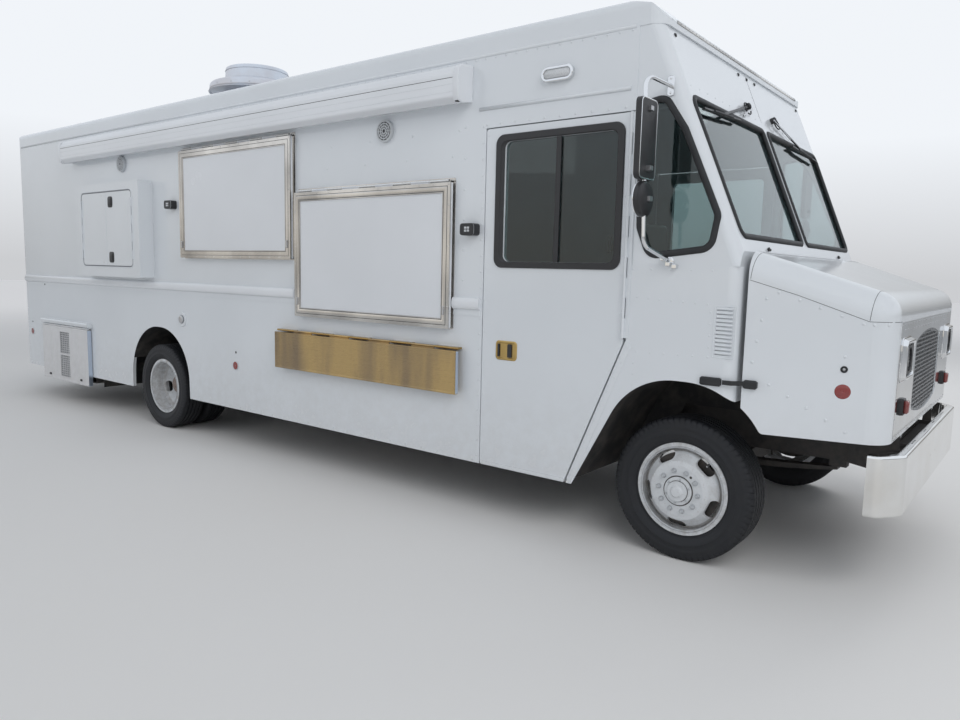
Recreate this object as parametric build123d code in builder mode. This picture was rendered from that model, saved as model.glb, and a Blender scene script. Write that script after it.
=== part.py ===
"""Food truck on a walk-in van chassis, built as separate pieces.

+X runs forward, +Y to the driver's side, +Z up, all in millimetres. The origin lies on the ground, midway
between the faces of the two bumpers and on the centre line. Stations are given from the axles' centres.
"""
import os
from math import hypot

from build123d import *

os.makedirs("parts", exist_ok=True)

# Overall sizes
WHEELBASE = 5220
FRONT_OVERHANG = 1058
REAR_OVERHANG = 3280
BODY_WIDTH = 2480
WALL = 40
SKIRT_Z = 348
ROOF_SEAM_Z = 2877
ROOF_TOP_Z = 3045
FLOOR_Z = 860
FLOOR = 60

# Clearances
PANEL_GAP = 7
HATCH_GAP = 5
FIT = 0.3
RUN = 0.4

# How far a cut runs past what it cuts
OVERRUN = 10

# Piano hinges: pin's distance from the skin, knuckle radius, leaf thickness and width
HINGE_OUT = 11
HINGE_R = 8
LEAF_T = 3
HINGE_W = 32

HALF = BODY_WIDTH / 2
AXLE_F = (WHEELBASE + REAR_OVERHANG - FRONT_OVERHANG) / 2
AXLE_R = AXLE_F - WHEELBASE
BUMPER_F = AXLE_F + FRONT_OVERHANG
BUMPER_R = AXLE_R - REAR_OVERHANG

# Wheels and tyres
TYRE_R = 404
TYRE_W = 226
TREAD_W = 190
RIM_R = 240
RIM_W = 176
RIM_FLANGE = 21
DISC_T = 11
DISC_OFFSET = 130
FRONT_TRACK_HALF = 992
TWIN_CENTRE = 976
TWIN_SPACING = 262
HAND_HOLE = (110, 46)
HAND_HOLE_AT = 193
PILOT_R = 84
HUB_R = 79
HUB_CAP_R = 57
SPINDLE_R = 40
KINGPIN_Y = 850
KINGPIN_R = 15
STEER = 35

# Bumpers
BUMPER_Z = (446, 750)
BUMPER_T = 8
REAR_BUMPER_Z = (400, 570)
REAR_BUMPER_HALF = 1120

# Chassis
RAIL_Y = 430
RAIL_FLANGE = 70
RAIL_T = 8
RAIL_TOP = FLOOR_Z - FLOOR
RAIL_H = 240
SPRING_W = 75
SPRING_T = 36

# Body stations, from the front axle
COWL_X = AXLE_F + 306
HOOD_REAR = AXLE_F + 337
HOOD_FRONT = AXLE_F + 985
DOOR_HINGE_X = AXLE_F - 318
DOOR_REAR = AXLE_F - 1297
DOOR_TOP = 2442
DOOR_BREAK_Z = 1203
DOOR_FOOT_X = AXLE_F - 668
CAP_X = AXLE_F - 457
REAR_WALL_X = AXLE_R - 3030

# Raked front: the panel's outer face runs back by RAKE for each millimetre up
RAKE = 0.41
RAKE_REF_X = AXLE_F + 122
RAKE_REF_Z = 2146
WAIST_Z = 1633


def rake_x(z):
    """Where the raked front face lies at a height."""
    return RAKE_REF_X - (z - RAKE_REF_Z) * RAKE


def outline(points, radius=0):
    """Edges of the closed outline through the points, with one radius for all corners or one for each."""
    with BuildLine() as edge:
        FilletPolyline(*points, radius=radius, close=True)
    return edge.line.edges()


def side_plane(y):
    """Plane whose local axes are the truck's X and Z, at -y, facing the kerb side."""
    return Plane.XZ.offset(y)


def slab(x, y, z, mode=Mode.ADD):
    """Plain block between two x, two y and two z."""
    with Locations(((x[0] + x[1]) / 2, (y[0] + y[1]) / 2, (z[0] + z[1]) / 2)):
        Box(x[1] - x[0], y[1] - y[0], z[1] - z[0], mode=mode)


def save(builder, name):
    """Label a finished piece and write it."""
    builder.part.label = name
    export_step(builder.part, f"parts/{name}.step")


def mirrored(builder):
    """The same piece for the other side of the truck."""
    with BuildPart() as twin:
        add(builder.part)
        mirror(builder.part, about=Plane.XZ, mode=Mode.REPLACE)
    return twin


def both_sides(builder):
    """One node with the piece on the kerb side and its mirror image."""
    with BuildPart() as pair:
        add(builder.part)
        mirror(about=Plane.XZ)
    return pair


def hinge_line(start, end, radius, wall_at, width, swing_to, across, knuckles):
    """Fixed and swinging halves of a piano hinge, whose knuckles alternate along the pin.

    Local X is the direction across, and wall_at is the local Y of the face that both leaves lie on.
    swing_to is the side, 1 or -1 along local X, of the swinging leaf.
    """
    run = Vector(*end) - Vector(*start)
    pitch = run.length / knuckles
    frame = Plane(origin=start, x_dir=across, z_dir=run.normalized())
    thick = LEAF_T if wall_at > 0 else -LEAF_T
    halves = []
    for first, side in ((0, -swing_to), (1, swing_to)):
        with BuildPart() as half:
            for number in range(first, knuckles, 2):
                with BuildSketch(frame.offset(number * pitch + RUN / 2)):
                    Circle(radius)
                    make_face(outline([
                        (0, wall_at / 4),
                        (side * (radius + 2), wall_at / 4),
                        (side * (radius + 2), wall_at),
                        (0, wall_at),
                    ]))
                extrude(amount=pitch - RUN)
            with BuildSketch(frame):
                make_face(outline([
                    (side * (radius + 1), wall_at),
                    (side * width, wall_at),
                    (side * width, wall_at - thick),
                    (side * (radius + 1), wall_at - thick),
                ]))
            extrude(amount=run.length)
        halves.append(half)
    return halves


def knuckles(x_range, count, first, pin, arm):
    """Every second knuckle of a hinge that runs along X, from the one numbered first.

    pin is the pin's (y, z), and arm the outline, in (y, z), that joins each knuckle to its leaf.
    """
    pitch = (x_range[1] - x_range[0]) / count
    with BuildPart() as row:
        for number in range(first, count, 2):
            with BuildSketch(Plane.YZ.offset(x_range[0] + number * pitch + RUN / 2)):
                with Locations(pin):
                    Circle(HINGE_R)
                make_face(outline(arm))
            extrude(amount=pitch - RUN)
    return row


# Body outlines, seen from the side

REAR_ARCH = [
    (AXLE_R - 512, SKIRT_Z - 60),
    (AXLE_R - 510, SKIRT_Z),
    (AXLE_R - 494, 979),
    (AXLE_R + 508, 979),
    (AXLE_R + 530, SKIRT_Z),
    (AXLE_R + 532, SKIRT_Z - 60),
]
REAR_ARCH_R = [0, 0, 488, 488, 0, 0]
HOOD_BOTTOM = 799
FRONT_ARCH = [
    (AXLE_F - 612, SKIRT_Z - 60),
    (AXLE_F - 612, SKIRT_Z),
    (AXLE_F - 253, 1029),
    (AXLE_F + 296, 1029),
    (AXLE_F + 434, HOOD_BOTTOM),
    (AXLE_F + 1200, HOOD_BOTTOM),
    (AXLE_F + 1200, SKIRT_Z - 60),
]
FRONT_ARCH_R = [0, 0, 420, 425, 28, 0, 0]
# Round the arches the skin is thin, and a liner of its own lies behind it
ARCH_SKIN = 4
ARCH_RETURN = 20
REAR_CORNER = 70
SHELL_BACK = DOOR_HINGE_X + 18
DOOR_OUTLINE = [
    (DOOR_REAR, SKIRT_Z),
    (DOOR_REAR, DOOR_TOP),
    (DOOR_HINGE_X, DOOR_TOP),
    (DOOR_HINGE_X, DOOR_BREAK_Z),
    (DOOR_FOOT_X, SKIRT_Z),
]

# Serving windows: rear and front, as x range and z range of the outer frame
SERVING_REAR = ((AXLE_F - 4718, AXLE_F - 3145), (1632, 2597))
SERVING_FRONT = ((AXLE_F - 3108, AXLE_F - 1539), (1199, 2167))
SERVING_FRAME = 34
SERVING_PROUD = 22

# Generator compartment behind the rear wheels, as x range and z range of its door
VENT_X = (AXLE_F - 7690, AXLE_F - 6588)
VENT_Z = (250, 886)
VENT_MARGIN = 20
VENT_SHEET = 12


def inset(window, amount):
    """The window's rectangle, drawn in by an amount on every side."""
    (x0, x1), (z0, z1) = window
    return (x0 + amount, x1 - amount), (z0 + amount, z1 - amount)


def rectangle_points(window):
    """Corners of a window rectangle, from its rear bottom corner."""
    (x0, x1), (z0, z1) = window
    return [(x0, z0), (x1, z0), (x1, z1), (x0, z1)]


def arch_return(arch, radii, front_x):
    """Room behind the skin round a wheel arch on the kerb side, as far forward as a station."""
    with BuildPart() as room:
        with BuildSketch(side_plane(HALF - ARCH_SKIN)):
            make_face(outline(arch, radii))
            offset(amount=ARCH_RETURN)
        extrude(amount=-WALL)
        slab((REAR_WALL_X, front_x), (-HALF, 0), (0, ROOF_TOP_Z), mode=Mode.INTERSECT)
    return room


def side_wall(windows):
    """Side wall from the rear corner to the entry door, with the band above the door."""
    with BuildPart() as wall:
        with BuildSketch(side_plane(HALF)):
            make_face(outline([
                (REAR_WALL_X + REAR_CORNER, SKIRT_Z),
                (DOOR_REAR - PANEL_GAP, SKIRT_Z),
                (DOOR_REAR - PANEL_GAP, DOOR_TOP + PANEL_GAP),
                (SHELL_BACK, DOOR_TOP + PANEL_GAP),
                (SHELL_BACK, ROOF_SEAM_Z),
                (REAR_WALL_X + REAR_CORNER, ROOF_SEAM_Z),
            ]))
            make_face(outline(REAR_ARCH, REAR_ARCH_R), mode=Mode.SUBTRACT)
            for window in windows:
                make_face(outline(rectangle_points(inset(window, SERVING_FRAME)), 12), mode=Mode.SUBTRACT)
        extrude(amount=-WALL)
        add(arch_return(REAR_ARCH, REAR_ARCH_R, AXLE_F).part, mode=Mode.SUBTRACT)
    return wall


with BuildPart() as wall_right:
    add(side_wall([SERVING_REAR, SERVING_FRONT]).part)
    slab(
        (VENT_X[0] + VENT_MARGIN + VENT_SHEET + 2, VENT_X[1] - VENT_MARGIN - VENT_SHEET - 2),
        (-HALF - 1, -HALF + WALL + 1),
        (SKIRT_Z - 1, RAIL_TOP - VENT_SHEET + 2),
        mode=Mode.SUBTRACT,
    )
save(wall_right, "wall_right")
wall_left = mirrored(side_wall([]))
save(wall_left, "wall_left")

# Roof: a shallow crowned tray with rolled edges, its front cap falling to the gutter
ROOF_T = 30
ROOF_CROWN = 18
ROOF_EDGE_R = 60
ROOF_CORNER_R = (60, 90)
CAP_BROW = (70, 62)
CAP_FRONT_X = rake_x(ROOF_SEAM_Z) + 12
# The side and plan outlines stand this far off the section, so that no corner has three tangent faces
STAND_OFF = 1


def roof_form(gap):
    """Solid of the roof, drawn in by a gap."""
    top = ROOF_TOP_Z - gap
    edge = HALF - gap
    front = CAP_FRONT_X - gap
    with BuildPart() as form:
        with BuildSketch(Plane.YZ.offset(REAR_WALL_X + gap)) as section:
            with BuildLine():
                crown = ThreePointArc((-edge, top - ROOF_CROWN), (0, top), (edge, top - ROOF_CROWN))
                Polyline(crown @ 0, (-edge, ROOF_SEAM_Z), (edge, ROOF_SEAM_Z), crown @ 1)
            make_face()
            fillet(section.vertices().group_by(Axis.Y)[-1], ROOF_EDGE_R - gap)
        extrude(amount=front - REAR_WALL_X - gap)
        with BuildSketch(side_plane(0)):
            make_face(outline([
                (REAR_WALL_X + gap, ROOF_SEAM_Z - STAND_OFF),
                (REAR_WALL_X + gap, top + STAND_OFF),
                (CAP_X, top + STAND_OFF),
                (front - CAP_BROW[0], top - CAP_BROW[1]),
                (front, ROOF_SEAM_Z + 40),
                (front, ROOF_SEAM_Z - STAND_OFF),
            ], [0, ROOF_EDGE_R, 300, 60, 10, 0]))
        extrude(amount=HALF, both=True, mode=Mode.INTERSECT)
        with BuildSketch(Plane.XY.offset(ROOF_SEAM_Z - STAND_OFF)):
            make_face(outline([
                (REAR_WALL_X + gap - STAND_OFF, -edge - STAND_OFF),
                (front + STAND_OFF, -edge - STAND_OFF),
                (front + STAND_OFF, edge + STAND_OFF),
                (REAR_WALL_X + gap - STAND_OFF, edge + STAND_OFF),
            ], [ROOF_CORNER_R[number] - gap for number in (0, 1, 1, 0)]))
        extrude(amount=ROOF_TOP_Z, mode=Mode.INTERSECT)
    return form


with BuildPart() as roof:
    add(roof_form(0).part)
    add(roof_form(ROOF_T).part, mode=Mode.SUBTRACT)
save(roof, "roof")

# Rear wall, with rounded corners and the opening for the two rear doors
REAR_DOOR_HALF = 560
REAR_DOOR_Z = (FLOOR_Z + 25, 2480)
with BuildPart() as rear_wall:
    with BuildSketch(Plane.XY.offset(SKIRT_Z)):
        make_face(outline([
            (REAR_WALL_X, -HALF),
            (REAR_WALL_X + REAR_CORNER, -HALF),
            (REAR_WALL_X + REAR_CORNER, -HALF + WALL),
            (REAR_WALL_X + WALL, -HALF + WALL),
            (REAR_WALL_X + WALL, HALF - WALL),
            (REAR_WALL_X + REAR_CORNER, HALF - WALL),
            (REAR_WALL_X + REAR_CORNER, HALF),
            (REAR_WALL_X, HALF),
        ], [ROOF_CORNER_R[0], 0, 0, 20, 20, 0, 0, ROOF_CORNER_R[0]]))
    extrude(amount=ROOF_SEAM_Z - SKIRT_Z)
    slab(
        (REAR_WALL_X - 1, REAR_WALL_X + WALL + 1),
        (-REAR_DOOR_HALF - PANEL_GAP, REAR_DOOR_HALF + PANEL_GAP),
        (REAR_DOOR_Z[0] - PANEL_GAP, REAR_DOOR_Z[1] + PANEL_GAP),
        mode=Mode.SUBTRACT,
    )
    slab(
        (REAR_WALL_X - 1, REAR_WALL_X + WALL + 1),
        (-REAR_BUMPER_HALF, REAR_BUMPER_HALF),
        (SKIRT_Z - 1, REAR_BUMPER_Z[1] + 12),
        mode=Mode.SUBTRACT,
    )
save(rear_wall, "rear_wall")

# Windshield panel: raked front with rounded pillars and both quarter windows
SHELL_HALF = HALF - 4
SHELL_CORNER = 65
SHELL_CUT_X = AXLE_F + 300
GLASS_T = 6
rise = ROOF_SEAM_Z - WAIST_Z
PANE = [(-1172, 2500), (-45, 2500), (-45, 1790), (-1134, 1790)]
QUARTER = [
    (AXLE_F - 270, 2474),
    (AXLE_F - 135, 2496),
    (AXLE_F - 20, 2325),
    (AXLE_F + 176, 1888),
    (AXLE_F + 150, 1722),
    (AXLE_F - 190, 1682),
    (AXLE_F - 252, 1835),
]
QUARTER_R = [20, 60, 60, 60, 70, 70, 60]
rake_stretch = hypot(1, RAKE)
rake_face = Plane(origin=(rake_x(RAKE_REF_Z), 0, RAKE_REF_Z), x_dir=(0, 1, 0), z_dir=(1, 0, RAKE))


def pane_outline(hand):
    """One windshield pane on the raked face; hand is -1 on the kerb side."""
    points = [(-hand * y, (z - RAKE_REF_Z) * rake_stretch) for y, z in PANE]
    return outline(points, [50, 30, 30, 50])


with BuildPart() as front_shell:
    with BuildSketch(Plane.XY.offset(WAIST_Z)):
        nose = rake_x(WAIST_Z)
        make_face(outline([
            (DOOR_REAR, -SHELL_HALF),
            (nose, -SHELL_HALF),
            (nose, SHELL_HALF),
            (DOOR_REAR, SHELL_HALF),
            (DOOR_REAR, SHELL_HALF - WALL),
            (nose - WALL, SHELL_HALF - WALL),
            (nose - WALL, -SHELL_HALF + WALL),
            (DOOR_REAR, -SHELL_HALF + WALL),
        ], [0, SHELL_CORNER, SHELL_CORNER, 0, 0, SHELL_CORNER - WALL, SHELL_CORNER - WALL, 0]))
    extrude(amount=rise * rake_stretch, dir=(-RAKE / rake_stretch, 0, 1 / rake_stretch))
    slab((SHELL_BACK, SHELL_CUT_X), (-HALF, HALF), (WAIST_Z, ROOF_SEAM_Z), mode=Mode.INTERSECT)
    for hand in (-1, 1):
        with BuildSketch(rake_face):
            make_face(pane_outline(hand))
        extrude(amount=WALL * 2, both=True, mode=Mode.SUBTRACT)
    with BuildSketch(side_plane(0)):
        make_face(outline(QUARTER, QUARTER_R))
    extrude(amount=HALF, both=True, mode=Mode.SUBTRACT)
save(front_shell, "windshield_panel")

with BuildPart() as cab_glass:
    for hand in (-1, 1):
        with BuildSketch(rake_face.offset(-12)):
            make_face(pane_outline(hand))
        extrude(amount=-GLASS_T)
        with BuildSketch(side_plane(hand * (SHELL_HALF - 12))):
            make_face(outline(QUARTER, QUARTER_R))
        extrude(amount=-hand * GLASS_T)
save(cab_glass, "cab_glass")

# Wipers, parked along the top of each pane: a motor spindle on the header, an arm and a blade
WIPER_PIVOT = (250, 2610)
WIPER_BLADE = ((520, 2478), (1100, 2442))
WIPER_STAND = 14


def on_rake_plane(y, z):
    """A point of the raked face, in that face's own two directions."""
    return y, (z - RAKE_REF_Z) * rake_stretch


with BuildPart() as wipers:
    for hand in (-1, 1):
        pivot = Vector(*on_rake_plane(hand * WIPER_PIVOT[0], WIPER_PIVOT[1]))
        start, end = [Vector(*on_rake_plane(hand * y, z)) for y, z in WIPER_BLADE]
        middle = (start + end) / 2
        with BuildSketch(rake_face):
            with Locations(pivot):
                Circle(20)
        extrude(amount=WIPER_STAND + 12)
        with BuildSketch(rake_face.offset(WIPER_STAND)):
            with BuildLine():
                Line(pivot, middle)
            trace(line_width=14)
            with BuildLine():
                Line(start, end)
            trace(line_width=10)
        extrude(amount=8)
save(wipers, "wipers")

# Cowl: the sides around the front wheels and the firewall, under the windshield panel
HINGE_POST = SHELL_BACK - DOOR_HINGE_X
COWL_CORNER = 60
COWL_POST_X = COWL_X - COWL_CORNER - 4
ENGINE_BAY_HALF = 380
ENGINE_BAY_TOP = 1310
FIREWALL_HALF = RAIL_Y + 160
FIREWALL_TOP = 1060
LOUVRES_AT = (AXLE_F + 245, 1302)
LOUVRE_PITCH = 20.5
LOUVRE_SLOT = (90, 8)
LOUVRE_DEPTH = 12
with BuildPart() as cowl:
    with BuildSketch(Plane.XY.offset(SKIRT_Z)):
        make_face(outline([
            (DOOR_REAR, -HALF),
            (COWL_X, -HALF),
            (COWL_X, HALF),
            (DOOR_REAR, HALF),
            (DOOR_REAR, HALF - WALL),
            (COWL_X - WALL, HALF - WALL),
            (COWL_X - WALL, -HALF + WALL),
            (DOOR_REAR, -HALF + WALL),
        ], [0, COWL_CORNER, COWL_CORNER, 0, 0, 0, 0, 0]))
    extrude(amount=WAIST_Z - SKIRT_Z)
    with BuildSketch(side_plane(0)):
        make_face(outline([
            (SHELL_BACK, WAIST_Z),
            (COWL_X, WAIST_Z),
            (COWL_X, SKIRT_Z),
            (DOOR_FOOT_X + HINGE_POST, SKIRT_Z),
            (SHELL_BACK, DOOR_BREAK_Z),
        ]))
    extrude(amount=HALF + OVERRUN, both=True, mode=Mode.INTERSECT)
    with BuildSketch(side_plane(0)):
        make_face(outline(FRONT_ARCH, FRONT_ARCH_R))
    extrude(amount=HALF + OVERRUN, both=True, mode=Mode.SUBTRACT)
    front_return = arch_return(FRONT_ARCH, FRONT_ARCH_R, COWL_POST_X)
    add(front_return.part, mode=Mode.SUBTRACT)
    mirror(front_return.part, about=Plane.XZ, mode=Mode.SUBTRACT)
    slab((COWL_X - WALL, COWL_X), (-FIREWALL_HALF, FIREWALL_HALF), (RAIL_TOP, FIREWALL_TOP))
    slab(
        (COWL_X - WALL - 1, COWL_X + 1),
        (-ENGINE_BAY_HALF, ENGINE_BAY_HALF),
        (RAIL_TOP - 1, ENGINE_BAY_TOP),
        mode=Mode.SUBTRACT,
    )
    for hand in (-1, 1):
        with BuildSketch(side_plane(-hand * HALF)):
            with Locations(LOUVRES_AT):
                with GridLocations(0, LOUVRE_PITCH, 1, 12):
                    SlotOverall(*LOUVRE_SLOT)
        extrude(amount=hand * LOUVRE_DEPTH, mode=Mode.SUBTRACT)
save(cowl, "cowl")

# Hood: tapers forward in plan and height, with large roundings at its front corners and round its top
HOOD_T = 22
HOOD_REAR_HALF = 1200
HOOD_FRONT_HALF = 1042
HOOD_REAR_TOP = 1716
HOOD_FRONT_TOP = 1499
HOOD_CORNER_R = 130
HOOD_RIM_R = 124
GRILLE_HALF = 445
GRILLE_Z = (856, 1316)
GRILLE_RISE = 46
GRILLE_R = 60
GRILLE_PITCH = (98, 23)
GRILLE_BAR = 8
GRILLE_T = 12
LAMP_Y = 757
LAMP_Z = 1197
LAMP_SIZE = (256, 212)
LAMP_BUCKET = (214, 170)
LAMP_GLASS = (206, 162)
LAMP_PROUD = 22
LAMP_DEPTH = 70


def hood_form(gap):
    """Solid of the hood drawn in by a gap; with a gap it runs out at the rear and below."""
    taper = (HOOD_REAR_HALF - HOOD_FRONT_HALF) / (HOOD_FRONT - HOOD_REAR)
    fall = (HOOD_REAR_TOP - HOOD_FRONT_TOP) / (HOOD_FRONT - HOOD_REAR)
    rear_half = HOOD_REAR_HALF + gap * taper - gap
    front_half = HOOD_FRONT_HALF + gap * taper - gap
    with BuildPart() as form:
        with BuildSketch(Plane.XY.offset(SKIRT_Z - gap)):
            make_face(outline([
                (HOOD_REAR - gap, -rear_half),
                (HOOD_FRONT - gap, -front_half),
                (HOOD_FRONT - gap, front_half),
                (HOOD_REAR - gap, rear_half),
            ]))
        extrude(amount=ROOF_TOP_Z)
        with BuildSketch(side_plane(0)):
            make_face(outline([
                (HOOD_REAR - gap, SKIRT_Z - gap),
                (HOOD_FRONT - gap, SKIRT_Z - gap),
                (HOOD_FRONT - gap, HOOD_FRONT_TOP + gap * fall - gap),
                (HOOD_REAR - gap, HOOD_REAR_TOP + gap * fall - gap),
            ]))
        extrude(amount=HALF, both=True, mode=Mode.INTERSECT)
        corners = form.faces().sort_by(Axis.X)[-1].edges().sort_by(Axis.Z)[1:3]
        fillet(corners, HOOD_CORNER_R - gap)
        top_rim = form.faces().sort_by(Axis.Z)[-1].edges().sort_by(Axis.X)[1:]
        fillet(top_rim, HOOD_RIM_R - gap)
    return form


def grille_edges(inset_by=0):
    """Edges of the grille's opening: upright sides, with a gently arched top and bottom."""
    half = GRILLE_HALF - inset_by
    low, high = GRILLE_Z[0] + inset_by, GRILLE_Z[1] - inset_by
    with BuildSketch() as shape:
        with BuildLine():
            upper = ThreePointArc((-half, high - GRILLE_RISE), (0, high), (half, high - GRILLE_RISE))
            lower = ThreePointArc((half, low + GRILLE_RISE), (0, low), (-half, low + GRILLE_RISE))
            Line(upper @ 1, lower @ 0)
            Line(lower @ 1, upper @ 0)
        make_face()
        fillet(shape.vertices(), GRILLE_R - inset_by)
    return shape.sketch.edges()


with BuildPart() as hood:
    add(hood_form(0).part)
    add(hood_form(HOOD_T).part, mode=Mode.SUBTRACT)
    with BuildSketch(side_plane(0)):
        make_face(outline(FRONT_ARCH, FRONT_ARCH_R))
    extrude(amount=HALF + OVERRUN, both=True, mode=Mode.SUBTRACT)
    with BuildSketch(Plane.YZ.offset(HOOD_FRONT)):
        make_face(grille_edges())
        with Locations((-LAMP_Y, LAMP_Z), (LAMP_Y, LAMP_Z)):
            RectangleRounded(*LAMP_BUCKET, 20)
    extrude(amount=-HOOD_T - 1, mode=Mode.SUBTRACT)
# Hinge lugs at the hood's front foot
HOOD_HINGE = (AXLE_F + 950, 778)
HOOD_LUG_Y = (-560, 560)
LUG_W = 30
HINGE_PIN_R = 10
with BuildPart() as hood_lugs:
    for y in HOOD_LUG_Y:
        with BuildSketch(side_plane(-y + LUG_W / 2)):
            make_face(outline([
                (HOOD_HINGE[0] - 24, HOOD_HINGE[1] - 24),
                (HOOD_HINGE[0] + 24, HOOD_HINGE[1] - 24),
                (HOOD_FRONT - HOOD_T, HOOD_BOTTOM + 60),
                (HOOD_HINGE[0] - 24, HOOD_BOTTOM + 60),
            ], [20, 20, 0, 0]))
            with Locations(HOOD_HINGE):
                Circle(HINGE_PIN_R + FIT, mode=Mode.SUBTRACT)
        extrude(amount=-LUG_W)
with BuildPart() as hood_whole:
    add(hood.part)
    add(hood_lugs.part)
save(hood_whole, "hood")

with BuildPart() as grille:
    with BuildSketch(Plane.YZ.offset(HOOD_FRONT - 4)):
        make_face(grille_edges())
        make_face(grille_edges(14), mode=Mode.SUBTRACT)
        with Locations((0, sum(GRILLE_Z) / 2)):
            with GridLocations(0, GRILLE_PITCH[1], 1, 19):
                Rectangle(GRILLE_HALF * 2, GRILLE_BAR)
            with GridLocations(GRILLE_PITCH[0], 0, 8, 1):
                Rectangle(GRILLE_BAR, GRILLE_Z[1] - GRILLE_Z[0])
        make_face(grille_edges(), mode=Mode.INTERSECT)
    extrude(amount=-GRILLE_T)
save(grille, "grille")

with BuildPart() as headlamps:
    for y in (-LAMP_Y, LAMP_Y):
        with BuildSketch(Plane.YZ.offset(HOOD_FRONT)):
            with Locations((y, LAMP_Z)):
                RectangleRounded(*LAMP_SIZE, 34)
        extrude(amount=LAMP_PROUD, taper=20)
        with BuildSketch(Plane.YZ.offset(HOOD_FRONT)):
            with Locations((y, LAMP_Z)):
                RectangleRounded(LAMP_BUCKET[0] - 2 * FIT, LAMP_BUCKET[1] - 2 * FIT, 20 - FIT)
        extrude(amount=-LAMP_DEPTH)
        with BuildSketch(Plane.YZ.offset(HOOD_FRONT + LAMP_PROUD)):
            with Locations((y, LAMP_Z)):
                RectangleRounded(*LAMP_GLASS, 18)
        extrude(amount=-LAMP_PROUD - LAMP_DEPTH + 6, taper=8, mode=Mode.SUBTRACT)
save(headlamps, "headlamps")

TURN_LAMP_AT = (752, 957)
TURN_LAMP_SIZE = (78, 86)
with BuildPart() as turn_lamps:
    with BuildSketch(Plane.YZ.offset(HOOD_FRONT)):
        with Locations((-TURN_LAMP_AT[0], TURN_LAMP_AT[1]), TURN_LAMP_AT):
            RectangleRounded(*TURN_LAMP_SIZE, 12)
    extrude(amount=16, taper=8)
save(turn_lamps, "turn_lamps")

# Entry door and driver's door
DOOR_T = WALL
DOOR_WINDOW = [
    (AXLE_F - 1155, 1642),
    (AXLE_F - 398, 1642),
    (AXLE_F - 398, 2357),
    (AXLE_F - 1155, 2357),
]
DOOR_HINGE_Z = (1233, DOOR_TOP)
with BuildPart() as door_panel:
    with BuildSketch(side_plane(HALF)):
        make_face(outline(DOOR_OUTLINE, [20, 20, 8, 60, 0]))
        make_face(outline(DOOR_WINDOW, 40), mode=Mode.SUBTRACT)
    extrude(amount=-DOOR_T)
hinge_fixed, hinge_swing = hinge_line(
    (DOOR_HINGE_X, -HALF - HINGE_OUT, DOOR_HINGE_Z[0]),
    (DOOR_HINGE_X, -HALF - HINGE_OUT, DOOR_HINGE_Z[1]),
    HINGE_R,
    HINGE_OUT,
    HINGE_W,
    -1,
    (1, 0, 0),
    11,
)
with BuildPart() as door_right:
    add(door_panel.part)
    add(hinge_swing.part)
save(door_right, "entry_door")
door_left = mirrored(door_right)
save(door_left, "driver_door")
with BuildPart() as door_glass:
    with BuildSketch(side_plane(HALF - 14)):
        make_face(outline(DOOR_WINDOW, 40))
    extrude(amount=-GLASS_T)
save(door_glass, "entry_door_glass")
save(mirrored(door_glass), "driver_door_glass")

# Rear doors: two leaves, hinged at their outer edges
REAR_WINDOW = ((150, 430), (1700, 2250))
with BuildPart() as rear_leaf:
    slab(
        (REAR_WALL_X, REAR_WALL_X + WALL),
        (-REAR_DOOR_HALF, -3),
        REAR_DOOR_Z,
    )
    with BuildSketch(Plane.YZ.offset(REAR_WALL_X)):
        with Locations((-sum(REAR_WINDOW[0]) / 2, sum(REAR_WINDOW[1]) / 2)):
            RectangleRounded(
                REAR_WINDOW[0][1] - REAR_WINDOW[0][0],
                REAR_WINDOW[1][1] - REAR_WINDOW[1][0],
                50,
            )
    extrude(amount=WALL, mode=Mode.SUBTRACT)
rear_fixed, rear_swing = hinge_line(
    (REAR_WALL_X - HINGE_OUT, -REAR_DOOR_HALF - PANEL_GAP / 2, REAR_DOOR_Z[0] + 20),
    (REAR_WALL_X - HINGE_OUT, -REAR_DOOR_HALF - PANEL_GAP / 2, REAR_DOOR_Z[1] - 20),
    HINGE_R,
    -HINGE_OUT,
    HINGE_W,
    1,
    (0, 1, 0),
    11,
)
with BuildPart() as rear_door_right:
    add(rear_leaf.part)
    add(rear_swing.part)
save(rear_door_right, "rear_door_right")
save(mirrored(rear_door_right), "rear_door_left")
with BuildPart() as door_hinges:
    for fixed in (hinge_fixed, rear_fixed):
        add(fixed.part)
        mirror(fixed.part, about=Plane.XZ)
with BuildPart() as rear_glass:
    with BuildSketch(Plane.YZ.offset(REAR_WALL_X + 14)):
        with Locations((-sum(REAR_WINDOW[0]) / 2, sum(REAR_WINDOW[1]) / 2)):
            RectangleRounded(
                REAR_WINDOW[0][1] - REAR_WINDOW[0][0],
                REAR_WINDOW[1][1] - REAR_WINDOW[1][0],
                50,
            )
    extrude(amount=GLASS_T)
save(rear_glass, "rear_glass_right")
save(mirrored(rear_glass), "rear_glass_left")

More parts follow.
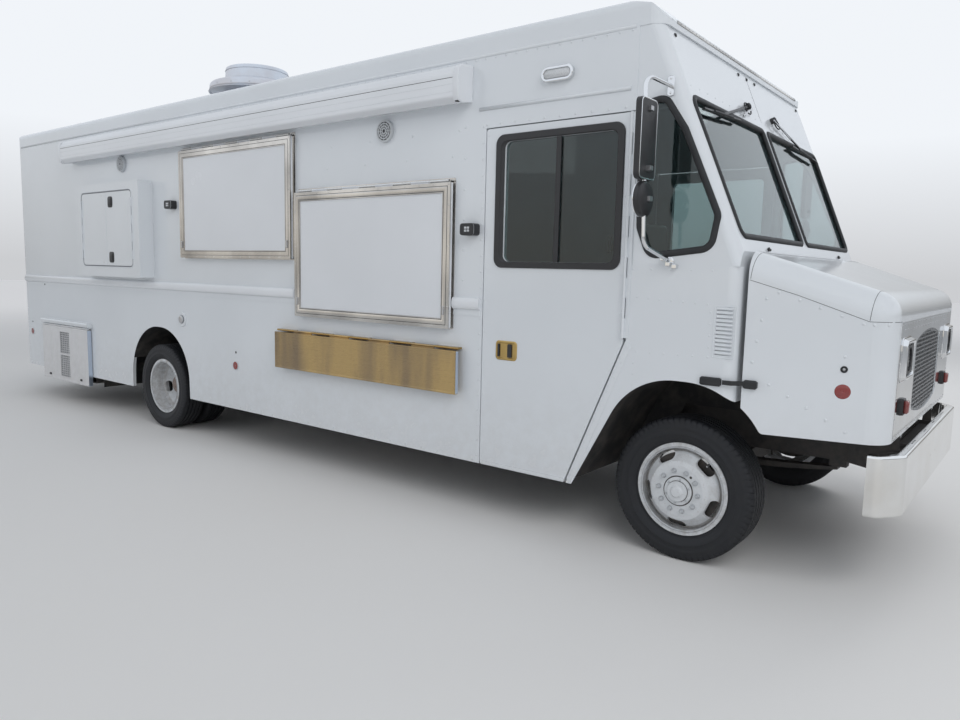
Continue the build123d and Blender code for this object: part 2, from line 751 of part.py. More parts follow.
# Serving windows: a bright frame round each cut-out and a flap hinged at its top edge
FRAME_FLANGE_T = 4
FRAME_RIB = 10
FLAP_T = 26
FLAP_INSET = 6
FLAP_BORDER = 60
FLAP_RECESS = 6
FLAP_HINGE_DROP = 18
FLAP_KNUCKLES = 9
PIN_CLEAR = 14
flap_pin_y = -HALF - SERVING_PROUD - HINGE_R
with BuildPart() as serving_frames:
    for window in (SERVING_REAR, SERVING_FRONT):
        with BuildSketch(side_plane(HALF)):
            make_face(outline(rectangle_points(window), 10))
            make_face(outline(rectangle_points(inset(window, SERVING_FRAME)), 8), mode=Mode.SUBTRACT)
        extrude(amount=FRAME_FLANGE_T)
        with BuildSketch(side_plane(HALF)):
            make_face(outline(rectangle_points(inset(window, SERVING_FRAME - FRAME_RIB)), 8))
            make_face(outline(rectangle_points(inset(window, SERVING_FRAME)), 8), mode=Mode.SUBTRACT)
        extrude(amount=SERVING_PROUD)
        with BuildSketch(side_plane(HALF)):
            make_face(outline(rectangle_points(inset(window, SERVING_FRAME)), 12))
            inner = inset(window, SERVING_FRAME + FRAME_RIB)
            make_face(outline(rectangle_points(inner), 8), mode=Mode.SUBTRACT)
        extrude(amount=-WALL)
save(serving_frames, "serving_frames")


def flap_pin(window):
    """Where a serving flap's hinge pin lies, as (y, z)."""
    return flap_pin_y, window[1][1] - FLAP_HINGE_DROP


def flap_hinge_x(window):
    """The length of a serving flap's hinge."""
    return window[0][0] + FLAP_INSET + 20, window[0][1] - FLAP_INSET - 20


for piece_name, window in (("serving_flap_rear", SERVING_REAR), ("serving_flap_front", SERVING_FRONT)):
    x_range, z_range = inset(window, FLAP_INSET)
    pin = flap_pin(window)
    leaf = (x_range, (z_range[0], pin[1] - PIN_CLEAR))
    with BuildPart() as flap:
        with BuildSketch(side_plane(HALF + SERVING_PROUD + 1)):
            make_face(outline(rectangle_points(leaf), [14, 14, 4, 4]))
        extrude(amount=FLAP_T)
        with BuildSketch(side_plane(HALF + SERVING_PROUD + 1 + FLAP_T)):
            make_face(outline(rectangle_points(inset(leaf, FLAP_BORDER)), 10))
        extrude(amount=-FLAP_RECESS, mode=Mode.SUBTRACT)
        add(knuckles(flap_hinge_x(window), FLAP_KNUCKLES, 1, pin, rectangle_points((
            (pin[0] - 4, pin[0] + 4),
            (pin[1] - 20, pin[1]),
        ))).part)
    save(flap, piece_name)
with BuildPart() as flap_hinges:
    for window in (SERVING_REAR, SERVING_FRONT):
        pin = flap_pin(window)
        add(knuckles(flap_hinge_x(window), FLAP_KNUCKLES, 0, pin, rectangle_points((
            (pin[0], pin[0] + 26),
            (pin[1] + 1, pin[1] + 7),
        ))).part)

# Counter shelf under the front serving window, folded down against the wall
SHELF_X = (AXLE_F - 3326, AXLE_F - 1460)
SHELF_Z = (786, 1090)
SHELF_OUT = 40
SHELF_T = 30
SHELF_SHEET = 4
SHELF_HEM = 20
SHELF_KNUCKLES = 9
shelf_pin = (-HALF - SHELF_OUT, SHELF_Z[1] - HINGE_R)
shelf_top = shelf_pin[1] - PIN_CLEAR
shelf_face = shelf_pin[0] - SHELF_T
with BuildPart() as shelf:
    with BuildSketch(Plane.YZ.offset(SHELF_X[0])):
        make_face(outline([
            (shelf_face, SHELF_Z[0]),
            (shelf_pin[0], SHELF_Z[0]),
            (shelf_pin[0], SHELF_Z[0] + SHELF_HEM),
            (shelf_face + SHELF_SHEET, SHELF_Z[0] + SHELF_HEM),
            (shelf_face + SHELF_SHEET, shelf_top - SHELF_SHEET),
            (shelf_pin[0], shelf_top - SHELF_SHEET),
            (shelf_pin[0], shelf_top),
            (shelf_face, shelf_top),
        ]))
    extrude(amount=SHELF_X[1] - SHELF_X[0])
    for x in (SHELF_X[0], SHELF_X[1] - SHELF_SHEET):
        slab((x, x + SHELF_SHEET), (shelf_face, shelf_pin[0]), (SHELF_Z[0], shelf_top))
    add(knuckles(SHELF_X, SHELF_KNUCKLES, 1, shelf_pin, rectangle_points((
        (shelf_pin[0] - 3, shelf_pin[0] + 3),
        (shelf_pin[1] - 18, shelf_pin[1]),
    ))).part)
save(shelf, "counter_shelf")
shelf_mount = knuckles(SHELF_X, SHELF_KNUCKLES, 0, shelf_pin, rectangle_points((
    (shelf_pin[0], -HALF),
    (shelf_pin[1] - 5, SHELF_Z[1]),
)))

# Raised cabinet on the rear of the kerb side, with two doors hinged at their outer edges
CABINET_X = (AXLE_F - 6530, AXLE_F - 5260)
CABINET_Z = (1440, 2345)
CABINET_OUT = 140
CABINET_DOOR_X = (AXLE_F - 6390, AXLE_F - 5390)
CABINET_DOOR_Z = (1545, 2260)
CABINET_T = 20
CABINET_LEAF_T = 14
with BuildPart() as cabinet:
    with BuildSketch(side_plane(HALF)):
        make_face(outline(rectangle_points((CABINET_X, CABINET_Z)), 12))
    extrude(amount=CABINET_OUT)
    with BuildSketch(side_plane(HALF)):
        make_face(outline(rectangle_points(inset((CABINET_X, CABINET_Z), CABINET_T)), 8))
    extrude(amount=CABINET_OUT - CABINET_LEAF_T, mode=Mode.SUBTRACT)
    with BuildSketch(side_plane(HALF + CABINET_OUT)):
        make_face(outline(rectangle_points((CABINET_DOOR_X, CABINET_DOOR_Z)), 45))
    extrude(amount=-CABINET_LEAF_T, mode=Mode.SUBTRACT)
CABINET_PIN_OUT = 8
CABINET_PIN_R = 6
CABINET_HINGE_W = 28
cabinet_mid = sum(CABINET_DOOR_X) / 2
with BuildPart() as cabinet_door:
    with BuildSketch(side_plane(HALF + CABINET_OUT)):
        make_face(outline([
            (cabinet_mid + HATCH_GAP / 2, CABINET_DOOR_Z[0] + HATCH_GAP),
            (CABINET_DOOR_X[1] - HATCH_GAP, CABINET_DOOR_Z[0] + HATCH_GAP),
            (CABINET_DOOR_X[1] - HATCH_GAP, CABINET_DOOR_Z[1] - HATCH_GAP),
            (cabinet_mid + HATCH_GAP / 2, CABINET_DOOR_Z[1] - HATCH_GAP),
        ], [0, 38, 38, 0]))
    extrude(amount=-CABINET_LEAF_T)
cabinet_fixed, cabinet_swing = hinge_line(
    (CABINET_DOOR_X[1], -HALF - CABINET_OUT - CABINET_PIN_OUT, CABINET_DOOR_Z[0] + 70),
    (CABINET_DOOR_X[1], -HALF - CABINET_OUT - CABINET_PIN_OUT, CABINET_DOOR_Z[1] - 70),
    CABINET_PIN_R,
    CABINET_PIN_OUT,
    CABINET_HINGE_W,
    -1,
    (1, 0, 0),
    7,
)
with BuildPart() as cabinet_door_front:
    add(cabinet_door.part)
    add(cabinet_swing.part)
save(cabinet_door_front, "cabinet_door_front")
cabinet_middle = Plane.YZ.offset(cabinet_mid)
with BuildPart() as cabinet_door_rear:
    add(cabinet_door_front.part)
    mirror(cabinet_door_front.part, about=cabinet_middle, mode=Mode.REPLACE)
save(cabinet_door_rear, "cabinet_door_rear")
with BuildPart() as cabinet_whole:
    add(cabinet.part)
    add(cabinet_fixed.part)
    mirror(cabinet_fixed.part, about=cabinet_middle)
save(cabinet_whole, "cabinet")

# Generator compartment: a sheet box behind the wall, and its vented door hinged at the top
VENT_OUT = 47
VENT_T = 42
VENT_PAN = 8
VENT_DEPTH = 640
VENT_SCREEN = (230, 500)
VENT_SCREEN_AT = ((VENT_X[0] + VENT_X[1]) / 2 + 4, 550)
VENT_WIRE = 5
VENT_WIRE_PITCH = (46, 24)
vent_pin = (-HALF - VENT_OUT + 12, VENT_Z[1] - 20)
vent_leaf = (VENT_X, (VENT_Z[0], vent_pin[1] - PIN_CLEAR))
with BuildPart() as vent_box:
    slab(
        (VENT_X[0] + VENT_MARGIN, VENT_X[1] - VENT_MARGIN),
        (-HALF + WALL, -HALF + VENT_DEPTH),
        (VENT_Z[0] + VENT_MARGIN, RAIL_TOP),
    )
    slab(
        (VENT_X[0] + VENT_MARGIN + VENT_SHEET, VENT_X[1] - VENT_MARGIN - VENT_SHEET),
        (-HALF + WALL - 1, -HALF + VENT_DEPTH - VENT_SHEET),
        (VENT_Z[0] + VENT_MARGIN + VENT_SHEET, RAIL_TOP - VENT_SHEET),
        mode=Mode.SUBTRACT,
    )
save(vent_box, "generator_box")
with BuildPart() as vent_door:
    with BuildSketch(side_plane(HALF + VENT_OUT - VENT_T)):
        make_face(outline(rectangle_points(vent_leaf), 6))
    extrude(amount=VENT_T)
    with BuildSketch(side_plane(HALF + VENT_OUT - VENT_T)):
        make_face(outline(rectangle_points(inset(vent_leaf, VENT_PAN))))
    extrude(amount=VENT_T - VENT_PAN, mode=Mode.SUBTRACT)
    with BuildSketch(side_plane(HALF + VENT_OUT)):
        with Locations(VENT_SCREEN_AT):
            Rectangle(*VENT_SCREEN)
    extrude(amount=-VENT_T, mode=Mode.SUBTRACT)
    with BuildSketch(side_plane(HALF + VENT_OUT - 4)):
        with Locations(VENT_SCREEN_AT):
            with GridLocations(0, VENT_WIRE_PITCH[1], 1, 20):
                Rectangle(VENT_SCREEN[0], VENT_WIRE)
            with GridLocations(VENT_WIRE_PITCH[0], 0, 4, 1):
                Rectangle(VENT_WIRE, VENT_SCREEN[1])
    extrude(amount=-8)
    add(knuckles(VENT_X, 7, 1, vent_pin, rectangle_points((
        (vent_pin[0] - 4, vent_pin[0] + 4),
        (vent_pin[1] - 24, vent_pin[1]),
    ))).part)
save(vent_door, "generator_door")
vent_hinge = knuckles(VENT_X, 7, 0, vent_pin, [
    vent_pin,
    (-HALF, vent_pin[1]),
    (-HALF, VENT_Z[1]),
    (vent_pin[0], vent_pin[1] + HINGE_R),
])
with BuildPart() as fixed_hinges:
    add(door_hinges.part)
    add(flap_hinges.part)
    add(shelf_mount.part)
    add(vent_hinge.part)
save(fixed_hinges, "fixed_hinges")

# Awning cassette along the top of the kerb side
AWNING_X = (AXLE_F - 6870, AXLE_F - 1420)
AWNING_Z = (2600, 2830)
AWNING_OUT = 140
AWNING_GROOVE = 4
AWNING_GROOVE_Z = (2660, 2705, 2745)
AWNING_CAP_L = 45
AWNING_SECTION = [
    (-HALF, AWNING_Z[0] + 20),
    (-HALF, AWNING_Z[1]),
    (-HALF - AWNING_OUT + 30, AWNING_Z[1] - 8),
    (-HALF - AWNING_OUT, AWNING_Z[1] - 60),
    (-HALF - AWNING_OUT, AWNING_Z[0] + 30),
    (-HALF - AWNING_OUT + 40, AWNING_Z[0]),
]
with BuildPart() as awning:
    with BuildSketch(Plane.YZ.offset(AWNING_X[0])):
        make_face(outline(AWNING_SECTION, [0, 6, 30, 30, 20, 10]))
    extrude(amount=AWNING_X[1] - AWNING_X[0])
    for z in AWNING_GROOVE_Z:
        slab(
            (AWNING_X[0] + AWNING_CAP_L, AWNING_X[1] - AWNING_CAP_L),
            (-HALF - AWNING_OUT - 1, -HALF - AWNING_OUT + AWNING_GROOVE),
            (z - AWNING_GROOVE / 2, z + AWNING_GROOVE / 2),
            mode=Mode.SUBTRACT,
        )
save(awning, "awning_cassette")

# Belt rails: a rolled section over a flat plate, on both sides of the body
BELT_Z = (1336, 1411)
BELT_PLATE_Z = 1296
BELT_PLATE_T = 4
BELT_OUT = 20
BELT_FRONT_X = DOOR_REAR - 22
BELT_REAR_X = REAR_WALL_X + REAR_CORNER


def belt_rail(hand, x_range):
    """Belt rail over a length; hand is -1 on the kerb side."""
    with BuildPart() as rail:
        with BuildSketch(Plane.YZ.offset(x_range[0])):
            make_face(outline([
                (hand * HALF, BELT_PLATE_Z),
                (hand * HALF, BELT_Z[1]),
                (hand * (HALF + BELT_OUT), BELT_Z[1] - 6),
                (hand * (HALF + BELT_OUT), BELT_Z[0] + 6),
                (hand * (HALF + BELT_PLATE_T), BELT_Z[0]),
                (hand * (HALF + BELT_PLATE_T), BELT_PLATE_Z),
            ], [0, 0, 14, 14, 0, 0]))
        extrude(amount=x_range[1] - x_range[0])
    return rail


with BuildPart() as belt_rails:
    add(belt_rail(-1, (BELT_REAR_X, SERVING_FRONT[0][0] - 55)).part)
    add(belt_rail(-1, (SERVING_FRONT[0][1], BELT_FRONT_X)).part)
    add(belt_rail(1, (BELT_REAR_X, BELT_FRONT_X)).part)
save(belt_rails, "belt_rails")

# Chassis frame: two channel rails with cross members, rear of the front bumper to the rear bumper
RAIL_X = (REAR_WALL_X + WALL + 4, AXLE_F + 900)
CROSS_RISE = 100
CROSS_W = 80
CROSS_X = (AXLE_R - 2900, AXLE_R - 1500, AXLE_R + 900, AXLE_R + 2300, AXLE_F - 1300, AXLE_F + 860)
SPRING_END_Z = 524
SPRING_REACH = {AXLE_F: 650, AXLE_R: 750}
HANGER_L = 90
BRACKET_T = 10
LUG_PLATE_T = 6
LUG_CLEAR = 6.4
with BuildPart() as chassis:
    for hand in (-1, 1):
        with BuildSketch(Plane.YZ.offset(RAIL_X[0])):
            make_face(outline([
                (hand * RAIL_Y, RAIL_TOP),
                (hand * RAIL_Y, RAIL_TOP - RAIL_H),
                (hand * (RAIL_Y - RAIL_FLANGE), RAIL_TOP - RAIL_H),
                (hand * (RAIL_Y - RAIL_FLANGE), RAIL_TOP - RAIL_H + RAIL_T),
                (hand * (RAIL_Y - RAIL_T), RAIL_TOP - RAIL_H + RAIL_T),
                (hand * (RAIL_Y - RAIL_T), RAIL_TOP - RAIL_T),
                (hand * (RAIL_Y - RAIL_FLANGE), RAIL_TOP - RAIL_T),
                (hand * (RAIL_Y - RAIL_FLANGE), RAIL_TOP),
            ]))
        extrude(amount=RAIL_X[1] - RAIL_X[0])
    cross_z = RAIL_TOP - RAIL_H + CROSS_RISE
    for x in CROSS_X:
        slab(
            (x - CROSS_W / 2, x + CROSS_W / 2),
            (-RAIL_Y + RAIL_T, RAIL_Y - RAIL_T),
            (cross_z, cross_z + RAIL_T),
        )
        slab(
            (x - RAIL_T / 2, x + RAIL_T / 2),
            (-RAIL_Y + RAIL_T, RAIL_Y - RAIL_T),
            (cross_z, RAIL_TOP - 5 * RAIL_T),
        )
    for axle, reach in SPRING_REACH.items():
        for x in (axle - reach, axle + reach):
            for hand in (-1, 1):
                slab(
                    (x - HANGER_L / 2, x + HANGER_L / 2),
                    sorted((hand * (RAIL_Y - RAIL_FLANGE), hand * RAIL_Y)),
                    (SPRING_END_Z, RAIL_TOP - RAIL_H),
                )
    for y in HOOD_LUG_Y:
        inner = y - LUG_W / 2 - LUG_CLEAR
        with BuildSketch(side_plane(-inner)):
            make_face(outline([
                (HOOD_HINGE[0] - 26, HOOD_HINGE[1] - 90),
                (HOOD_HINGE[0] + 26, HOOD_HINGE[1] - 90),
                (HOOD_HINGE[0] + 18, HOOD_HINGE[1] + 16),
                (HOOD_HINGE[0] - 18, HOOD_HINGE[1] + 16),
            ], [0, 0, 14, 14]))
        extrude(amount=LUG_PLATE_T)
        with BuildSketch(side_plane(-inner)):
            with Locations(HOOD_HINGE):
                Circle(HINGE_PIN_R)
        extrude(amount=-LUG_W - LUG_CLEAR)
    slab(
        (HOOD_HINGE[0] - 26, HOOD_HINGE[0] + 26),
        (HOOD_LUG_Y[0] - 40, HOOD_LUG_Y[1] + 40),
        (HOOD_HINGE[1] - 90 - RAIL_T, HOOD_HINGE[1] - 90),
    )
    for y in (RAIL_Y, -RAIL_Y - BRACKET_T):
        with BuildSketch(side_plane(-y)):
            make_face(outline([
                (RAIL_X[1] - 200, RAIL_TOP - RAIL_H),
                (BUMPER_F - BUMPER_T - FIT, BUMPER_Z[0] + 60),
                (BUMPER_F - BUMPER_T - FIT, BUMPER_Z[1] - 40),
                (RAIL_X[1] - 200, RAIL_TOP - 90),
            ]))
            make_face(outline([
                (RAIL_X[0] + 400, RAIL_TOP - RAIL_H + 80),
                (RAIL_X[0], REAR_BUMPER_Z[1] - 9),
                (BUMPER_R + 8 + FIT, REAR_BUMPER_Z[1] - 9),
                (BUMPER_R + 8 + FIT, REAR_BUMPER_Z[0] + 20),
                (RAIL_X[0] + 200, REAR_BUMPER_Z[0] + 40),
                (RAIL_X[0] + 400, RAIL_TOP - RAIL_H),
            ]))
        extrude(amount=-BRACKET_T)
save(chassis, "chassis_frame")

# Bumpers
BUMPER_HALF = 1065
BUMPER_LIP = 42
BUMPER_ROLL = 14
PLATE_SPACING = 178
PLATE_HOLE_R = 3.5


def bumper_plan(gap):
    """Plan of the front bumper, drawn in by a gap."""
    return outline([
        (BUMPER_F - 150, -BUMPER_HALF + gap),
        (BUMPER_F - 95, -BUMPER_HALF + gap),
        (BUMPER_F - gap, -BUMPER_HALF + 125 + gap / 2),
        (BUMPER_F - gap, BUMPER_HALF - 125 - gap / 2),
        (BUMPER_F - 95, BUMPER_HALF - gap),
        (BUMPER_F - 150, BUMPER_HALF - gap),
    ], [0, 45 - min(gap, 20), 60, 60, 45 - min(gap, 20), 0])


with BuildPart() as front_bumper:
    with BuildSketch(Plane.XY.offset(BUMPER_Z[0])):
        make_face(bumper_plan(0))
    extrude(amount=BUMPER_Z[1] - BUMPER_Z[0])
    for face in (front_bumper.faces().sort_by(Axis.Z)[0], front_bumper.faces().sort_by(Axis.Z)[-1]):
        fillet(face.edges().sort_by(Axis.X)[1:], BUMPER_ROLL)
    with BuildSketch(Plane.XY.offset(BUMPER_Z[0])):
        make_face(bumper_plan(BUMPER_LIP))
    extrude(amount=BUMPER_Z[1] - BUMPER_Z[0], mode=Mode.SUBTRACT)
    with BuildSketch(Plane.XY.offset(BUMPER_Z[0] + BUMPER_T)):
        make_face(bumper_plan(BUMPER_T))
    extrude(amount=BUMPER_Z[1] - BUMPER_Z[0] - 2 * BUMPER_T, mode=Mode.SUBTRACT)
    with BuildSketch(Plane.YZ.offset(BUMPER_F)):
        with Locations((0, 600)):
            with GridLocations(PLATE_SPACING, 0, 2, 1):
                Circle(PLATE_HOLE_R)
    extrude(amount=-BUMPER_T - 2, mode=Mode.SUBTRACT)
save(front_bumper, "front_bumper")

with BuildPart() as rear_bumper:
    slab((BUMPER_R, REAR_WALL_X - 12), (-REAR_BUMPER_HALF, REAR_BUMPER_HALF), REAR_BUMPER_Z)
    slab(
        (BUMPER_R + 8, REAR_WALL_X + 1),
        (-REAR_BUMPER_HALF + 8, REAR_BUMPER_HALF - 8),
        (REAR_BUMPER_Z[0] - 1, REAR_BUMPER_Z[1] - 8),
        mode=Mode.SUBTRACT,
    )
save(rear_bumper, "rear_bumper")

# Front axle beam, rear axle and leaf springs
EYE_R = 38
EYE_HALF = 45
KNUCKLE_LUG_T = 26
AXLE_TUBE_R = 58
AXLE_TUBE_END = 740
DIFF_R = 185
with BuildPart() as front_axle:
    with BuildSketch(Plane.YZ.offset(AXLE_F - EYE_R)):
        make_face(outline([
            (-KINGPIN_Y, TYRE_R - 30),
            (-KINGPIN_Y + 140, TYRE_R - 45),
            (-RAIL_Y - 60, TYRE_R - 50),
            (RAIL_Y + 60, TYRE_R - 50),
            (KINGPIN_Y - 140, TYRE_R - 45),
            (KINGPIN_Y, TYRE_R - 30),
            (KINGPIN_Y, TYRE_R + 30),
            (RAIL_Y + 60, TYRE_R + 46),
            (-RAIL_Y - 60, TYRE_R + 46),
            (-KINGPIN_Y, TYRE_R + 30),
        ]))
    extrude(amount=2 * EYE_R)
    with BuildSketch(Plane.XY.offset(TYRE_R - EYE_HALF)):
        with Locations((AXLE_F, -KINGPIN_Y), (AXLE_F, KINGPIN_Y)):
            Circle(EYE_R)
    extrude(amount=2 * EYE_HALF)
    with BuildSketch(Plane.XY.offset(TYRE_R - EYE_HALF)):
        with Locations((AXLE_F, -KINGPIN_Y), (AXLE_F, KINGPIN_Y)):
            Circle(KINGPIN_R + FIT)
    extrude(amount=2 * EYE_HALF, mode=Mode.SUBTRACT)
save(front_axle, "front_axle")

axle_r_line = Axis((AXLE_R, 0, TYRE_R), (0, 1, 0))
rear_hub_face = TWIN_CENTRE - 40
with BuildPart() as rear_axle:
    with BuildSketch(Plane(origin=(AXLE_R, 0, TYRE_R), x_dir=(0, 1, 0), z_dir=(1, 0, 0))):
        make_face(outline([
            (-rear_hub_face, 0),
            (-rear_hub_face, SPINDLE_R),
            (-AXLE_TUBE_END, SPINDLE_R),
            (-AXLE_TUBE_END, AXLE_TUBE_R),
            (-230, AXLE_TUBE_R),
            (-110, DIFF_R),
            (110, DIFF_R),
            (230, AXLE_TUBE_R),
            (AXLE_TUBE_END, AXLE_TUBE_R),
            (AXLE_TUBE_END, SPINDLE_R),
            (rear_hub_face, SPINDLE_R),
            (rear_hub_face, 0),
        ], [0, 0, 0, 0, 40, 50, 50, 40, 0, 0, 0, 0]))
    revolve(axis=axle_r_line)

with BuildPart() as springs:
    for x, seat in ((AXLE_F, TYRE_R + 46), (AXLE_R, TYRE_R + AXLE_TUBE_R)):
        front, rear = x + SPRING_REACH[x], x - SPRING_REACH[x]
        eye_low, eye_high = SPRING_END_Z - SPRING_T / 2, SPRING_END_Z
        for y in (-RAIL_Y + RAIL_FLANGE, RAIL_Y):
            with BuildSketch(side_plane(-y)):
                with BuildLine():
                    lower = ThreePointArc((rear, eye_low), (x, seat), (front, eye_low))
                    upper = ThreePointArc((rear, eye_high), (x, seat + SPRING_T), (front, eye_high))
                    Line(lower @ 0, upper @ 0)
                    Line(lower @ 1, upper @ 1)
                make_face()
            extrude(amount=RAIL_FLANGE)
save(springs, "leaf_springs")

# Steering knuckle on the kerb side: two lugs round the beam's end, kingpin, back plate and spindle
with BuildPart() as knuckle_right:
    for z in (TYRE_R - EYE_HALF - RUN - KNUCKLE_LUG_T, TYRE_R + EYE_HALF + RUN):
        with BuildSketch(Plane.XY.offset(z)):
            with Locations((AXLE_F, -KINGPIN_Y)):
                Circle(36)
            with Locations((AXLE_F, -KINGPIN_Y - 40)):
                Rectangle(72, 40)
        extrude(amount=KNUCKLE_LUG_T)
    with BuildSketch(Plane.XY.offset(TYRE_R - EYE_HALF - KNUCKLE_LUG_T)):
        with Locations((AXLE_F, -KINGPIN_Y)):
            Circle(KINGPIN_R)
    extrude(amount=2 * (EYE_HALF + KNUCKLE_LUG_T))
    with BuildSketch(side_plane(KINGPIN_Y + 44)):
        with Locations((AXLE_F, TYRE_R)):
            Circle(72)
    extrude(amount=16)
    with BuildSketch(side_plane(KINGPIN_Y + 60)):
        with Locations((AXLE_F, TYRE_R)):
            Circle(SPINDLE_R)
    extrude(amount=FRONT_TRACK_HALF + DISC_OFFSET - 30 - KINGPIN_Y - 60)
save(knuckle_right, "knuckle_right")
save(mirrored(knuckle_right), "knuckle_left")


def wheel_plane(x, y):
    """Plane through a wheel's axle whose local X points out of the kerb side and local Y up."""
    return Plane(origin=(x, -y, TYRE_R), x_dir=(0, -1, 0), z_dir=(-1, 0, 0))


def tyre(x, y):
    """One tyre: a ring with bulged side walls and rounded shoulders."""
    bead = RIM_R + FIT
    with BuildPart() as ring:
        with BuildSketch(wheel_plane(x, y)):
            make_face(outline([
                (-RIM_W / 2 + 12, bead),
                (-RIM_W / 2 + 12, bead + RIM_FLANGE + 6),
                (-TYRE_W / 2, bead + 70),
                (-TYRE_W / 2 + 2, TYRE_R - 60),
                (-TREAD_W / 2, TYRE_R),
                (TREAD_W / 2, TYRE_R),
                (TYRE_W / 2 - 2, TYRE_R - 60),
                (TYRE_W / 2, bead + 70),
                (RIM_W / 2 - 12, bead + RIM_FLANGE + 6),
                (RIM_W / 2 - 12, bead),
            ], [0, 0, 40, 40, 18, 18, 40, 40, 0, 0]))
        revolve(axis=Axis((x, 0, TYRE_R), (0, 1, 0)))
    return ring


def rim(x, y, out):
    """Rim barrel with flanges, and the disc dished to one side; out is 1 outwards or -1 inwards."""
    line = Axis((x, 0, TYRE_R), (0, 1, 0))
    half = RIM_W / 2
    with BuildPart() as barrel:
        with BuildSketch(wheel_plane(x, y)):
            make_face(outline([
                (-half, RIM_R - 8),
                (-half, RIM_R + RIM_FLANGE),
                (-half + 10, RIM_R + RIM_FLANGE),
                (-half + 10, RIM_R),
                (half - 10, RIM_R),
                (half - 10, RIM_R + RIM_FLANGE),
                (half, RIM_R + RIM_FLANGE),
                (half, RIM_R - 8),
            ]))
            make_face(outline([
                (out * (DISC_OFFSET - 90), RIM_R - 4),
                (out * (DISC_OFFSET - 55), 205),
                (out * (DISC_OFFSET - 6), 165),
                (out * DISC_OFFSET, 140),
                (out * DISC_OFFSET, PILOT_R),
                (out * (DISC_OFFSET - DISC_T), PILOT_R),
                (out * (DISC_OFFSET - DISC_T), 140),
                (out * (DISC_OFFSET - 66), 200),
                (out * (DISC_OFFSET - 102), RIM_R - 4),
            ], [0, 20, 10, 10, 0, 0, 10, 20, 0]))
        revolve(axis=line)
        with BuildSketch(side_plane(y)):
            with Locations((x, TYRE_R)):
                with PolarLocations(HAND_HOLE_AT, 5, start_angle=-24):
                    SlotOverall(*HAND_HOLE, rotation=90)
        extrude(amount=DISC_OFFSET + 1, both=True, mode=Mode.SUBTRACT)
    return barrel


def hub(x, inner, disc, end):
    """Hub on the axle line, from its inner end past the disc's mounting face to its domed cap.

    The three places are measured outwards from the truck's centre line.
    """
    with BuildPart() as body:
        with BuildSketch(wheel_plane(x, 0)):
            make_face(outline([
                (inner, SPINDLE_R + RUN),
                (inner, PILOT_R + 10),
                (disc - DISC_T + 2, PILOT_R + 10),
                (disc - DISC_T + 2, HUB_R),
                (end - 26, HUB_R),
                (end - 26, HUB_CAP_R),
                (end - 12, HUB_CAP_R),
                (end - 12, 36),
                (end, 26),
                (end, 0),
                (end - 62, 0),
                (end - 62, SPINDLE_R + RUN),
            ], [0, 0, 0, 0, 6, 0, 5, 4, 8, 0, 0, 0]))
        revolve(axis=Axis((x, 0, TYRE_R), (0, 1, 0)))
    return body


front_tyre = tyre(AXLE_F, FRONT_TRACK_HALF)
save(front_tyre, "front_tyre_right")
save(mirrored(front_tyre), "front_tyre_left")
with BuildPart() as front_wheel:
    add(rim(AXLE_F, FRONT_TRACK_HALF, 1).part)
    front_disc = FRONT_TRACK_HALF + DISC_OFFSET
    add(hub(AXLE_F, front_disc - 60, front_disc, front_disc + 36).part)
save(front_wheel, "front_wheel_right")
save(mirrored(front_wheel), "front_wheel_left")

twin_out = TWIN_CENTRE + TWIN_SPACING / 2
twin_in = TWIN_CENTRE - TWIN_SPACING / 2
twin_disc = twin_out - DISC_OFFSET + DISC_T
with BuildPart() as rear_tyres:
    add(tyre(AXLE_R, twin_out).part)
    add(tyre(AXLE_R, twin_in).part)
save(rear_tyres, "rear_tyres_right")
save(mirrored(rear_tyres), "rear_tyres_left")
with BuildPart() as rear_wheels:
    add(rim(AXLE_R, twin_out, -1).part)
    add(rim(AXLE_R, twin_in, 1).part)
    add(hub(AXLE_R, TWIN_CENTRE - 100, twin_disc, twin_disc + 105).part)
save(rear_wheels, "rear_wheels_right")
save(mirrored(rear_wheels), "rear_wheels_left")

# Drive line, engine, radiator
ENGINE_X = (AXLE_F - 200, AXLE_F + 720)
ENGINE_HALF = 330
ENGINE_Z = (560, 1250)
GEARBOX_L = 700
RADIATOR_X = (AXLE_F + 800, AXLE_F + 835)
RADIATOR_HALF = 352
RADIATOR_Z = (668, 1340)
TANK_H = 50
with BuildPart() as engine:
    slab(ENGINE_X, (-ENGINE_HALF, ENGINE_HALF), ENGINE_Z)
    slab((AXLE_F + 240, AXLE_F + 340), (-RAIL_Y + RAIL_T, RAIL_Y - RAIL_T), (640, 700))
with BuildPart() as gearbox:
    with BuildSketch(Plane.YZ.offset(ENGINE_X[0])):
        with Locations((0, 640)):
            RectangleRounded(420, 300, 60)
    with BuildSketch(Plane.YZ.offset(ENGINE_X[0] - GEARBOX_L)):
        with Locations((0, 600)):
            RectangleRounded(200, 200, 60)
    loft()
shaft_start = Vector(ENGINE_X[0] - GEARBOX_L, 0, 600)
shaft_end = Vector(AXLE_R + DIFF_R, 0, TYRE_R + 20)
with BuildPart() as drive_shaft:
    with BuildSketch(Plane(origin=shaft_start, z_dir=shaft_end - shaft_start)):
        Circle(45)
    extrude(amount=(shaft_end - shaft_start).length + 20)
    add(rear_axle.part, mode=Mode.SUBTRACT)
    add(gearbox.part, mode=Mode.SUBTRACT)
with BuildPart() as rear_axle_shaft:
    add(rear_axle.part)
    add(drive_shaft.part)
save(rear_axle_shaft, "rear_axle")
